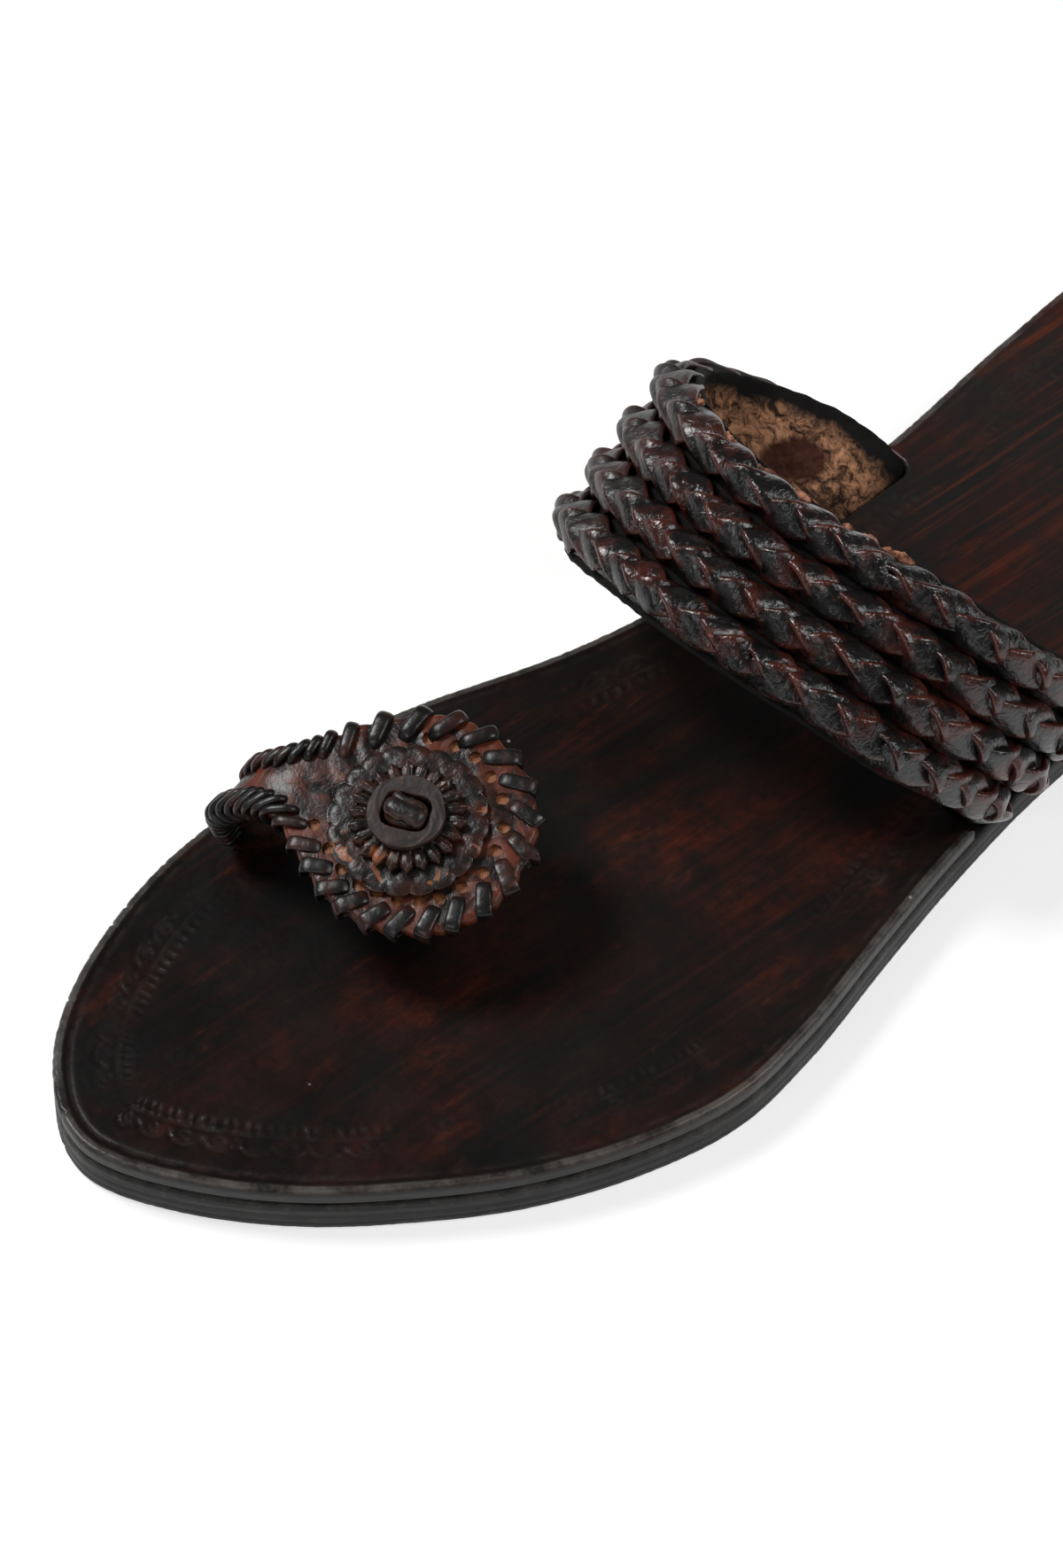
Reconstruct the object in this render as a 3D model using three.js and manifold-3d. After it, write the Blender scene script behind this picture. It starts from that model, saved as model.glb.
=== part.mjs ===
// Kolhapuri sandal for the left foot: a flat stacked leather sole, a plaited instep strap and a
// laced toe loop with a rosette. Millimetres, +Y from toe to heel, +X to the little toe, +Z up.
import * as THREE from "three";
import { mergeVertices } from "three/addons/utils/BufferGeometryUtils.js";
import Module from "manifold-3d";

const wasm = await Module();
wasm.setup();

// ---- Driving dimensions ----
const soleLength = 268;
const outsoleThickness = 5.6;
const insoleThickness = 2.9;
const gap = 0.3; // between any two pieces
const insoleFloor = outsoleThickness + gap;
const insoleTop = insoleFloor + insoleThickness;

// Sole outline, a row for each station from the toe tip: x on the big-toe and little-toe sides
const toeTipX = -14.5;
const heelTipX = -1.5;
const soleSections = [
  { y: 1.6, medial: -21.4, lateral: -8 },
  { y: 8, medial: -30, lateral: 3 },
  { y: 17, medial: -36.4, lateral: 13.6 },
  { y: 28, medial: -41.2, lateral: 23 },
  { y: 42, medial: -44.7, lateral: 32.6 },
  { y: 58, medial: -45.6, lateral: 39.6 },
  { y: 74, medial: -45, lateral: 43 },
  { y: 90, medial: -41.2, lateral: 41.4 },
  { y: 110, medial: -34.6, lateral: 36.8 },
  { y: 128, medial: -30.9, lateral: 33 },
  { y: 150, medial: -29.7, lateral: 29.8 },
  { y: 178, medial: -30.7, lateral: 29.2 },
  { y: 205, medial: -33.6, lateral: 30.8 },
  { y: 228, medial: -34.8, lateral: 31.4 },
  { y: 248, medial: -30.6, lateral: 27 },
  { y: 261, medial: -20.6, lateral: 17 },
];
const solePoints = 132;
const soleBevel = 0.6;

// Side notches that take the strap's feet through the insole
const notches = [
  { edge: -40, inner: -22.8, front: 139.6, back: 177 },
  { edge: 40, inner: 20.8, front: 131.8, back: 169.4 },
];

// Instep strap, a row for each section from the medial foot to the lateral foot:
// the front and rear edge of the band where its lining meets the plaits
const strapSections = [
  { fx: -26, fy: 143, fz: 2, rx: -25.5, ry: 175, rz: 2 },
  { fx: -27, fy: 142, fz: 8, rx: -27.5, ry: 175, rz: 8 },
  { fx: -34.5, fy: 137, fz: 12.5, rx: -37, ry: 173, rz: 12.5 },
  { fx: -39.6, fy: 128, fz: 17.5, rx: -46.2, ry: 165, rz: 19 },
  { fx: -39.3, fy: 118.5, fz: 25, rx: -47.5, ry: 154, rz: 30 },
  { fx: -33.4, fy: 112, fz: 31.5, rx: -40.7, ry: 145, rz: 39.5 },
  { fx: -23.5, fy: 109.5, fz: 35.5, rx: -30.5, ry: 138, rz: 45.5 },
  { fx: -10, fy: 108.5, fz: 37.5, rx: -13.5, ry: 134.5, rz: 48 },
  { fx: 4, fy: 111, fz: 35.5, rx: 0, ry: 137, rz: 45.5 },
  { fx: 16, fy: 114.5, fz: 32.5, rx: 14, ry: 142, rz: 41.5 },
  { fx: 25, fy: 119, fz: 27, rx: 25.5, ry: 147.5, rz: 35 },
  { fx: 30.5, fy: 126.5, fz: 19, rx: 31.5, ry: 155, rz: 26 },
  { fx: 31, fy: 131.5, fz: 12.5, rx: 31.5, ry: 163, rz: 16 },
  { fx: 26.5, fy: 134, fz: 8, rx: 26, ry: 167, rz: 8 },
  { fx: 24.5, fy: 135, fz: 2, rx: 24, ry: 167.5, rz: 2 },
];
const strapSteps = 60;
const liningThickness = 1.8;
const plaitCount = 4;
const plaitHeight = 3.9;
const plaitValley = 1.6;
const plaitFacets = 4;

// Toe loop: its frame stands on the insole over the medial slit, "along" towards the rosette,
// "side" to the heel and "up" leaning to the toe. A row for each section of the band: its middle,
// its half width and how many degrees its width is turned from "side" towards "along"
const loopBase = { x: -36.4, y: 54, z: insoleTop };
const loopHeading = THREE.MathUtils.degToRad(30);
const loopLean = THREE.MathUtils.degToRad(16);
const loopThickness = 2.4;
const discUp = 17;
const loopSections = [
  { along: 1, side: 0, up: -8, half: 4.4, turn: 76 },
  { along: 0.6, side: 0, up: -2.4, half: 4.4, turn: 76 },
  { along: -0.8, side: 0.5, up: 2.6, half: 4.5, turn: 68 },
  { along: -2.6, side: 1.4, up: 6.8, half: 4.6, turn: 50 },
  { along: -3.6, side: 2.4, up: 10.8, half: 4.6, turn: 28 },
  { along: -1, side: 3.2, up: 14.4, half: 4.6, turn: 10 },
  { along: 3.8, side: 3.8, up: 16.7, half: 5.6, turn: 2 },
  { along: 8.6, side: 3.3, up: discUp, half: 9.5, turn: 0 },
  { along: 14, side: 2.7, up: discUp, half: 14.1, turn: 0 },
  { along: 20, side: 2.6, up: discUp, half: 16.9, turn: 0 },
  { along: 26, side: 2.6, up: discUp, half: 17.4, turn: 0 },
  { along: 32, side: 2.6, up: discUp, half: 15.9, turn: 0 },
  { along: 37.4, side: 2.6, up: discUp, half: 11.8, turn: 0 },
  { along: 40.6, side: 2.6, up: discUp, half: 7, turn: 0 },
  { along: 42, side: 2.6, up: discUp, half: 1.6, turn: 0 },
];
const loopSteps = 44;

// Rosette on the loop: centre along and across it, then the stack of discs
const rosetteAlong = 23.4;
const rosetteSide = 2;
const discs = {
  scallop: { radius: 11.5, wave: 0.7, lobes: 20, thickness: 1.3 },
  pinked: { radius: 8.4, wave: 0.6, lobes: 22, thickness: 1.2 },
  washer: { radius: 5.7, wave: 0, lobes: 6, thickness: 1.1 },
};
const pointsPerLobe = 6;
const thong = { length: 6.4, width: 4.8, round: 1.4, proud: 0.7, reach: 11 };
const boreClearance = 0.4;
const boreSpan = { low: -6, high: 12 }; // through the loop and the whole stack
const rodOverrun = 8; // how far the thong starts below the insole's top before it is trimmed

// Hidden ends: each neck goes down through the insole and turns under it as a flat tongue
const tongueFloor = 4;
const tuckRound = 0.9;
const strapTucks = [
  { x: -25.2, y: 158, heading: 0, neck: 3, width: 26, reach: 13 },
  { x: 23.2, y: 151, heading: Math.PI, neck: 3, width: 26, reach: 13 },
];
const loopTuck = {
  x: -36.2,
  y: 54.3,
  heading: loopHeading - THREE.MathUtils.degToRad(76),
  neck: 2,
  width: 7.6,
  reach: 9,
};
const slitMargin = 0.5;
const tuckDepth = 0.8; // from the insole's top down to the top of a hidden neck
const leanRoom = { neck: 2.6, width: 4 }; // extra slit for ends that come through at a lean
const notchRadius = 2.5;
const overcut = 1; // how far a cutter passes beyond what it cuts

// ---- Helpers ----
const weldDistance = 1e-4;

function toSolid(geometry) {
  const bare = geometry.clone();
  bare.deleteAttribute("normal");
  bare.deleteAttribute("uv");
  const merged = mergeVertices(bare, weldDistance);
  return new wasm.Manifold(
    new wasm.Mesh({
      numProp: 3,
      vertProperties: merged.attributes.position.array,
      triVerts: new Uint32Array(merged.index.array),
    }),
  );
}

function toMesh(name, solid, finish) {
  const made = solid.getMesh();
  const geometry = new THREE.BufferGeometry();
  geometry.setAttribute("position", new THREE.BufferAttribute(made.vertProperties, 3));
  geometry.setIndex(new THREE.BufferAttribute(made.triVerts, 1));
  geometry.computeVertexNormals();
  const mesh = new THREE.Mesh(geometry, new THREE.MeshStandardMaterial(finish));
  mesh.name = name;
  return mesh;
}

// A flat slab between two heights from an outline of 2-D points
function slab(points, low, high, bevel = 0) {
  const geometry = new THREE.ExtrudeGeometry(new THREE.Shape(points), {
    depth: high - low - 2 * bevel,
    bevelEnabled: bevel > 0,
    bevelThickness: bevel,
    bevelSize: bevel,
    bevelOffset: -bevel,
    bevelSegments: 2,
  });
  return geometry.translate(0, 0, low + bevel);
}

// Outline of a rectangle with round corners, from x0 to x1 and y0 to y1
function roundedOutline(x0, x1, y0, y1, radius) {
  const corners = [
    { x: x1 - radius, y: y1 - radius, from: 0 },
    { x: x0 + radius, y: y1 - radius, from: 1 },
    { x: x0 + radius, y: y0 + radius, from: 2 },
    { x: x1 - radius, y: y0 + radius, from: 3 },
  ];
  const cornerSteps = 3;
  return corners.flatMap(({ x, y, from }) =>
    Array.from({ length: cornerSteps + 1 }, (_, i) => {
      const angle = ((from + i / cornerSteps) * Math.PI) / 2;
      return new THREE.Vector2(x + radius * Math.cos(angle), y + radius * Math.sin(angle));
    }),
  );
}

// A round outline with lobes on its rim
function lobedOutline({ radius, wave, lobes }) {
  const count = lobes * pointsPerLobe;
  return Array.from({ length: count }, (_, i) => {
    const angle = (i / count) * 2 * Math.PI;
    const r = radius + wave * (Math.abs(Math.cos((lobes * angle) / 2)) - 1);
    return new THREE.Vector2(r * Math.cos(angle), r * Math.sin(angle));
  });
}

// Skins rings of equal length into one closed solid; capOutline is a ring's 2-D form
function loft(rings, capOutline) {
  const size = rings[0].length;
  const last = (rings.length - 1) * size;
  const index = [];
  for (let r = 0; r + 1 < rings.length; r++)
    for (let i = 0; i < size; i++) {
      const a = r * size + i;
      const b = r * size + ((i + 1) % size);
      index.push(a, b, a + size, b, b + size, a + size);
    }
  const turn = Math.sign(THREE.ShapeUtils.area(capOutline));
  for (const face of THREE.ShapeUtils.triangulateShape(capOutline, [])) {
    const same = turn * THREE.ShapeUtils.area(face.map((i) => capOutline[i])) > 0;
    const [a, b, c] = same ? face : face.toReversed();
    index.push(c, b, a, last + a, last + b, last + c);
  }
  const geometry = new THREE.BufferGeometry().setFromPoints(rings.flat());
  geometry.setIndex(index);
  return geometry;
}

// Rings of a band between two edge curves; the outline runs from 0 at the front edge to 1 at the
// rear edge in x, and outwards from the band in y
function bandRings(frontEdge, rearEdge, outlinePoints, steps) {
  return Array.from({ length: steps + 1 }, (_, i) => {
    const t = i / steps;
    const front = frontEdge.getPoint(t);
    const across = rearEdge.getPoint(t).sub(front);
    const along = frontEdge.getTangent(t).add(rearEdge.getTangent(t)).normalize();
    const out = new THREE.Vector3().crossVectors(along, across).normalize();
    return outlinePoints.map((p) =>
      front.clone().addScaledVector(across, p.x).addScaledVector(out, p.y),
    );
  });
}

// A block that takes away all that lies below a height
function everythingBelow(height) {
  const depth = 40;
  const block = new THREE.BoxGeometry(soleLength, 2 * soleLength, depth);
  return toSolid(block.translate(0, soleLength / 2, height - depth / 2));
}

// The neck of a tucked end and its tongue under the insole
function tuckSolids({ x, y, heading, neck, width, reach }, grow = 0) {
  const place = (geometry) => toSolid(geometry.rotateZ(heading).translate(x, y, 0));
  const back = -neck / 2 - grow;
  const side = width / 2 + grow;
  const low = tongueFloor - grow;
  const tongueTop = grow ? insoleFloor : outsoleThickness;
  const neckTop = insoleTop - tuckDepth;
  return {
    neck: place(slab(roundedOutline(back, -back, -side, side, tuckRound), low, neckTop)),
    tongue: place(slab(roundedOutline(back, reach + grow, -side, side, tuckRound), low, tongueTop)),
  };
}

// ---- Sole ----
const ring = [
  new THREE.Vector3(toeTipX, 0, 0),
  ...soleSections.map((row) => new THREE.Vector3(row.lateral, row.y, 0)),
  new THREE.Vector3(heelTipX, soleLength, 0),
  ...soleSections.toReversed().map((row) => new THREE.Vector3(row.medial, row.y, 0)),
];
const outline = new THREE.CatmullRomCurve3(ring, true, "centripetal")
  .getSpacedPoints(solePoints)
  .slice(0, -1)
  .map((p) => new THREE.Vector2(p.x, p.y));

let outsole = toSolid(slab(outline, 0, outsoleThickness, soleBevel));
let insole = toSolid(slab(outline, insoleFloor, insoleTop, soleBevel));
for (const { edge, inner, front, back } of notches) {
  const [x0, x1] = [Math.min(edge, inner), Math.max(edge, inner)];
  const cutOutline = roundedOutline(x0, x1, front, back, notchRadius);
  const cut = slab(cutOutline, insoleFloor - overcut, insoleTop + overcut);
  insole = insole.subtract(toSolid(cut));
}

// ---- Instep strap ----
const edgeCurve = (key) =>
  new THREE.CatmullRomCurve3(
    strapSections.map((row) => new THREE.Vector3(row[key + "x"], row[key + "y"], row[key + "z"])),
  );

// The band's section: across from 0 at the front edge to 1 at the rear, out from the lining's face
const strapOutline = [new THREE.Vector2(0, plaitValley)];
for (let plait = 0; plait < plaitCount; plait++)
  for (let facet = 1; facet <= plaitFacets; facet++) {
    const part = facet / plaitFacets;
    const rise = Math.sqrt(Math.sin(Math.PI * part));
    const out = plaitValley + (plaitHeight - plaitValley) * (part < 1 ? rise : 0);
    strapOutline.push(new THREE.Vector2((plait + part) / plaitCount, out));
  }
for (const across of [1, 2 / 3, 1 / 3, 0])
  strapOutline.push(new THREE.Vector2(across, -liningThickness));
strapOutline.reverse();

const strapRings = bandRings(edgeCurve("f"), edgeCurve("r"), strapOutline, strapSteps);
const belowInsole = everythingBelow(insoleFloor);
let strap = toSolid(loft(strapRings, strapOutline)).subtract(belowInsole);
for (const row of strapTucks) {
  const { neck, tongue } = tuckSolids(row);
  const recess = tuckSolids(row, gap);
  strap = strap.add(neck).add(tongue);
  outsole = outsole.subtract(recess.tongue);
}

// ---- Toe loop ----
const alongAxis = new THREE.Vector3(Math.cos(loopHeading), Math.sin(loopHeading), 0);
const acrossAxis = new THREE.Vector3(
  Math.sin(loopHeading) * Math.cos(loopLean),
  -Math.cos(loopHeading) * Math.cos(loopLean),
  -Math.sin(loopLean),
);
const upAxis = new THREE.Vector3().crossVectors(acrossAxis, alongAxis);
const loopFrame = new THREE.Matrix4()
  .makeBasis(alongAxis, acrossAxis.clone().negate(), upAxis)
  .setPosition(loopBase.x, loopBase.y, loopBase.z);

const loopEdge = (half) =>
  new THREE.CatmullRomCurve3(
    loopSections.map((row) => {
      const turn = THREE.MathUtils.degToRad(row.turn);
      const width = new THREE.Vector3(Math.sin(turn), Math.cos(turn), 0);
      return new THREE.Vector3(row.along, row.side, row.up).addScaledVector(width, half * row.half);
    }),
  );
const loopOutline = [
  new THREE.Vector2(0, -loopThickness / 2),
  new THREE.Vector2(1, -loopThickness / 2),
  new THREE.Vector2(1, loopThickness / 2),
  new THREE.Vector2(0.5, loopThickness / 2),
  new THREE.Vector2(0, loopThickness / 2),
];
const loopRings = bandRings(loopEdge(-1), loopEdge(1), loopOutline, loopSteps);
const belowTongue = everythingBelow(tongueFloor);
const loopTucked = tuckSolids(loopTuck);
let loop = toSolid(loft(loopRings, loopOutline).applyMatrix4(loopFrame))
  .subtract(belowTongue)
  .add(loopTucked.tongue);

// ---- Rosette and toe thong, stacked up from the loop's top face ----
const rosetteUp = discUp + loopThickness / 2;
const rosetteFrame = loopFrame
  .clone()
  .multiply(new THREE.Matrix4().makeTranslation(rosetteAlong, rosetteSide, rosetteUp));
const boreOutline = (grow) => {
  const [a, b] = [thong.length / 2 + grow, thong.width / 2 + grow];
  return roundedOutline(-a, a, -b, b, thong.round + grow);
};
const boreSlab = slab(boreOutline(boreClearance), boreSpan.low, boreSpan.high);
const bore = toSolid(boreSlab.applyMatrix4(rosetteFrame));

const scallopLow = gap;
const pinkedLow = scallopLow + discs.scallop.thickness + gap;
const washerLow = pinkedLow + discs.pinked.thickness + gap;
const stackTop = washerLow + discs.washer.thickness;
const disc = (points, low, thickness) =>
  toSolid(slab(points, low, low + thickness).applyMatrix4(rosetteFrame)).subtract(bore);
const scallop = disc(lobedOutline(discs.scallop), scallopLow, discs.scallop.thickness);
const pinked = disc(lobedOutline(discs.pinked), pinkedLow, discs.pinked.thickness);
const washer = disc(lobedOutline(discs.washer), washerLow, discs.washer.thickness);
loop = loop.subtract(bore);

const thongFoot = new THREE.Vector3().applyMatrix4(rosetteFrame);
const drop = (thongFoot.z - insoleTop) / upAxis.z;
thongFoot.addScaledVector(upAxis, -drop);
const thongTuck = {
  x: thongFoot.x,
  y: thongFoot.y,
  heading: loopHeading,
  neck: thong.length,
  width: thong.width,
  reach: thong.reach,
};
const thongRod = slab(boreOutline(0), -drop - rodOverrun, stackTop + thong.proud);
const toeThong = toSolid(thongRod.applyMatrix4(rosetteFrame))
  .subtract(belowTongue)
  .add(tuckSolids(thongTuck).tongue);

// Slits in the insole and recesses in the outsole for the loop and the thong
for (const row of [loopTuck, thongTuck]) {
  const wide = { ...row, neck: row.neck + leanRoom.neck, width: row.width + leanRoom.width };
  const slit = slab(
    roundedOutline(
      -wide.neck / 2 - slitMargin,
      wide.neck / 2 + slitMargin,
      -wide.width / 2 - slitMargin,
      wide.width / 2 + slitMargin,
      tuckRound,
    ),
    insoleFloor - overcut,
    insoleTop + overcut,
  );
  insole = insole.subtract(toSolid(slit.rotateZ(row.heading).translate(row.x, row.y, 0)));
  outsole = outsole.subtract(tuckSolids(wide, gap).tongue);
}

// ---- Finishes ----
const finishes = {
  soleEdge: { color: 0x17100e, roughness: 0.5, metalness: 0 },
  footbed: { color: 0x2a120d, roughness: 0.42, metalness: 0 },
  plait: { color: 0x2b1310, roughness: 0.36, metalness: 0 },
  loop: { color: 0x4a1c12, roughness: 0.4, metalness: 0 },
  rosette: { color: 0x3a1a14, roughness: 0.42, metalness: 0 },
  washer: { color: 0x4a2a20, roughness: 0.5, metalness: 0 },
  thong: { color: 0x191211, roughness: 0.4, metalness: 0 },
};

const sandal = new THREE.Group();
sandal.add(
  toMesh("outsole", outsole, finishes.soleEdge),
  toMesh("insole", insole, finishes.footbed),
  toMesh("instep_strap", strap, finishes.plait),
  toMesh("toe_loop", loop, finishes.loop),
  toMesh("rosette_scalloped_disc", scallop, finishes.rosette),
  toMesh("rosette_pinked_disc", pinked, finishes.rosette),
  toMesh("rosette_washer", washer, finishes.washer),
  toMesh("toe_thong", toeThong, finishes.thong),
);

// The origin is on the floor under the middle of the sandal's box
const box = new THREE.Box3().setFromObject(sandal);
const middle = box.getCenter(new THREE.Vector3());
sandal.position.set(-middle.x, -middle.y, -box.min.z);

export default sandal;
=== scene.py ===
# Kolhapuri sandal for the left foot, seen from above its little-toe side. Shapes are worked out in
# the part's own millimetres (y from the toe tip to the heel) and put into the frame in metres.
import math
import bpy
import numpy as np
from mathutils import Matrix, Vector, geometry
from mathutils.kdtree import KDTree


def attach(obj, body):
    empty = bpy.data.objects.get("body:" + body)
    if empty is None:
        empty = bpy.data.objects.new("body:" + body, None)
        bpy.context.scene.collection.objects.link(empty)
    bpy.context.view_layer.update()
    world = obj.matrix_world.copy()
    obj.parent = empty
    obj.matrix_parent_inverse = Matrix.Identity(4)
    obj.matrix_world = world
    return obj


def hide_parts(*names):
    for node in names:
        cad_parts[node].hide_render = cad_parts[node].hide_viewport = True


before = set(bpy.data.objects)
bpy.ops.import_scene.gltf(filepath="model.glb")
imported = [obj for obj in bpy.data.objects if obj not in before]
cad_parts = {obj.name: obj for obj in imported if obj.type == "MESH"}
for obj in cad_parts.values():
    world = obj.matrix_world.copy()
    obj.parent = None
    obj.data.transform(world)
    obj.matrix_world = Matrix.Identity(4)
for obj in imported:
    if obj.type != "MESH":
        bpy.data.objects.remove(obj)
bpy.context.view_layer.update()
rng = np.random.default_rng(11)
print("frame loaded")

# Dimensions shared with the part, in mm
shift = np.array([3.949, -133.998, 0.0])  # part's design origin to the frame's origin
outsoleTop = 5.6
insoleFloor = 5.9
insoleTop = 8.8
soleTips = {"toeX": -14.5, "heelX": -1.5, "length": 268}
soleSections = [  # y, x on the big-toe side, x on the little-toe side
    (1.6, -21.4, -8), (8, -30, 3), (17, -36.4, 13.6), (28, -41.2, 23), (42, -44.7, 32.6),
    (58, -45.6, 39.6), (74, -45, 43), (90, -41.2, 41.4), (110, -34.6, 36.8), (128, -30.9, 33),
    (150, -29.7, 29.8), (178, -30.7, 29.2), (205, -33.6, 30.8), (228, -34.8, 31.4),
    (248, -30.6, 27), (261, -20.6, 17),
]
notchRadius = 2.5
notches = [(-60, -24.4, 140.4, 176.4), (22.4, 60, 132.6, 168.8)]  # x0, x1, y0, y1
strapSections = [  # front edge x y z, rear edge x y z, from the medial foot to the lateral foot
    (-26, 143, 2, -25.5, 175, 2), (-27, 142, 8, -27.5, 175, 8),
    (-34.5, 137, 12.5, -37, 173, 12.5), (-39.6, 128, 17.5, -46.2, 165, 19),
    (-39.3, 118.5, 25, -47.5, 154, 30), (-33.4, 112, 31.5, -40.7, 145, 39.5),
    (-23.5, 109.5, 35.5, -30.5, 138, 45.5), (-10, 108.5, 37.5, -13.5, 134.5, 48),
    (4, 111, 35.5, 0, 137, 45.5), (16, 114.5, 32.5, 14, 142, 41.5),
    (25, 119, 27, 25.5, 147.5, 35), (30.5, 126.5, 19, 31.5, 155, 26),
    (31, 131.5, 12.5, 31.5, 163, 16), (26.5, 134, 8, 26, 167, 8), (24.5, 135, 2, 24, 167.5, 2),
]
loopFrame = {
    "base": (-36.4, 54, insoleTop), "heading": 30, "lean": 16, "thick": 2.4,
    "start": 8.6,  # run along the band where it comes up out of the insole
    "boreHalf": 2.2,
}
loopSections = [  # along, side, up, half width, turn of the width in degrees
    (1, 0, -8, 4.4, 76), (0.6, 0, -2.4, 4.4, 76), (-0.8, 0.5, 2.6, 4.5, 68),
    (-2.6, 1.4, 6.8, 4.6, 50), (-3.6, 2.4, 10.8, 4.6, 28), (-1, 3.2, 14.4, 4.6, 10),
    (3.8, 3.8, 16.7, 5.6, 2), (8.6, 3.3, 17, 9.5, 0), (14, 2.7, 17, 14.1, 0),
    (20, 2.6, 17, 16.9, 0), (26, 2.6, 17, 17.4, 0), (32, 2.6, 17, 15.9, 0),
    (37.4, 2.6, 17, 11.8, 0), (40.6, 2.6, 17, 7, 0), (42, 2.6, 17, 1.6, 0),
]
rosetteAt = (23.4, 2, 18.2)  # along, side, up: the top face of the loop under the rosette


# Curves and meshes
def splineThrough(points, steps, closed=False):
    # a smooth curve through the points, with a number of steps from each to the next
    p = np.asarray(points, float)
    if closed:
        p = np.vstack([p[-1], p, p[0], p[1]])
    else:
        p = np.vstack([2 * p[0] - p[1], p, 2 * p[-1] - p[-2]])
    out = []
    for a, b, c, d in zip(p[:-3], p[1:-2], p[2:-1], p[3:]):
        da, db, dc = (max(np.linalg.norm(v) ** 0.5, 1e-4) for v in (b - a, c - b, d - c))
        m = db * ((b - a) / da - (c - a) / (da + db) + (c - b) / db)
        n = db * ((c - b) / db - (d - b) / (db + dc) + (d - c) / dc)
        t = (np.arange(steps) / steps)[:, None]
        out.append(b + m * t + (3 * (c - b) - 2 * m - n) * t**2 + (2 * (b - c) + m + n) * t**3)
    if not closed:
        out.append(p[-2][None])
    return np.vstack(out)


def runLength(p):
    return np.concatenate([[0], np.cumsum(np.linalg.norm(np.diff(p, axis=0), axis=1))])


def sampleAt(p, run, at):
    return np.stack([np.interp(at, run, p[:, k]) for k in range(p.shape[1])], axis=1)


def unit(v):
    return v / np.maximum(np.linalg.norm(v, axis=-1, keepdims=True), 1e-9)


def gridQuads(rows, cols, wrapRows=False, wrapCols=False):
    r = np.arange(rows if wrapRows else rows - 1)[:, None]
    c = np.arange(cols if wrapCols else cols - 1)[None, :]
    r2 = (r + 1) % rows
    c2 = (c + 1) % cols
    quads = np.stack([r * cols + c, r * cols + c2, r2 * cols + c2, r2 * cols + c], axis=-1)
    return quads.reshape(-1, 4).tolist()


def makePiece(name, points, faces, values=None, crease=None):
    mesh = bpy.data.meshes.new(name)
    mesh.from_pydata(((np.asarray(points) + shift) / 1000).tolist(), [], faces)
    mesh.validate()
    for key, column in (values or {}).items():
        layer = mesh.attributes.new(key, "FLOAT", "POINT")
        layer.data.foreach_set("value", np.asarray(column, np.float32))
    mesh.shade_smooth()
    piece = bpy.data.objects.new(name, mesh)
    bpy.context.scene.collection.objects.link(piece)
    if crease:
        mesh.set_sharp_from_angle(angle=math.radians(crease))
    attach(piece, "root")
    return piece


# A strip swept along a path; the section is a rounded flat band, fuller when power is nearer 1
def sweep(path, ups, halfWidth, halfHeight, around=16, power=0.7):
    n = len(path)
    along = unit(np.gradient(path, axis=0))
    side = unit(np.cross(along, ups))
    top = np.cross(side, along)
    angle = np.arange(around) / around * 2 * math.pi
    c = np.sign(np.cos(angle)) * np.abs(np.cos(angle)) ** power
    s = np.sign(np.sin(angle)) * np.abs(np.sin(angle)) ** power
    w = np.broadcast_to(halfWidth, (n,))[:, None, None]
    h = np.broadcast_to(halfHeight, (n,))[:, None, None]
    points = path[:, None] + side[:, None] * w * c[None, :, None] + top[:, None] * h * s[None, :, None]
    points = np.vstack([points.reshape(-1, 3), path[0], path[-1]])
    faces = [q[::-1] for q in gridQuads(n, around, wrapCols=True)]
    for k in range(around):
        j = (k + 1) % around
        faces.append([n * around, j, k][::-1])
        faces.append([n * around + 1, (n - 1) * around + k, (n - 1) * around + j][::-1])
    run = np.repeat(runLength(path), around)
    across = np.tile(c, n)
    above = np.tile(s, n)
    ends = [0, 0]
    values = {
        "runAlong": np.concatenate([run, ends]),
        "runAcross": np.concatenate([across, ends]),
        "onTop": np.concatenate([above, ends]),
    }
    return points, faces, values


def joinParts(parts):
    points, faces, values, base = [], [], {}, 0
    for index, (p, f, v) in enumerate(parts):
        points.append(p)
        faces.extend([[i + base for i in face] for face in f])
        for key, column in v.items():
            values.setdefault(key, []).append(column)
        values.setdefault("strand", []).append(np.full(len(p), float(index)))
        base += len(p)
    return np.vstack(points), faces, {k: np.concatenate(v) for k, v in values.items()}


def smoothNoise(x, seed, period):
    # a smooth random curve of x, repeated only far away
    table = np.random.default_rng(seed).uniform(-1, 1, 512)
    q = np.asarray(x) / period
    i = np.floor(q).astype(int)
    t = q - i
    t = t * t * (3 - 2 * t)
    return table[i % 512] * (1 - t) + table[(i + 1) % 512] * t


# Node groups shared by the leathers
def nodeGroup(name, inputs, outputs):
    tree = bpy.data.node_groups.new(name, "ShaderNodeTree")
    for label, kind, value in inputs:
        socket = tree.interface.new_socket(label, in_out="INPUT", socket_type="NodeSocket" + kind)
        if value is not None:
            socket.default_value = value
    for label, kind in outputs:
        tree.interface.new_socket(label, in_out="OUTPUT", socket_type="NodeSocket" + kind)
    return tree, tree.nodes.new("NodeGroupInput"), tree.nodes.new("NodeGroupOutput")


def addNode(tree, kind, links=None, **settings):
    node = tree.nodes.new("ShaderNode" + kind)
    for key, value in settings.items():
        setattr(node, key, value)
    for socket, value in (links or {}).items():
        if isinstance(value, bpy.types.NodeSocket):
            tree.links.new(value, node.inputs[socket])
        else:
            node.inputs[socket].default_value = value
    return node


def maths(tree, operation, *values, clamp=False):
    node = addNode(tree, "Math", dict(enumerate(values)), operation=operation)
    node.use_clamp = clamp
    return node.outputs[0]


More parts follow.
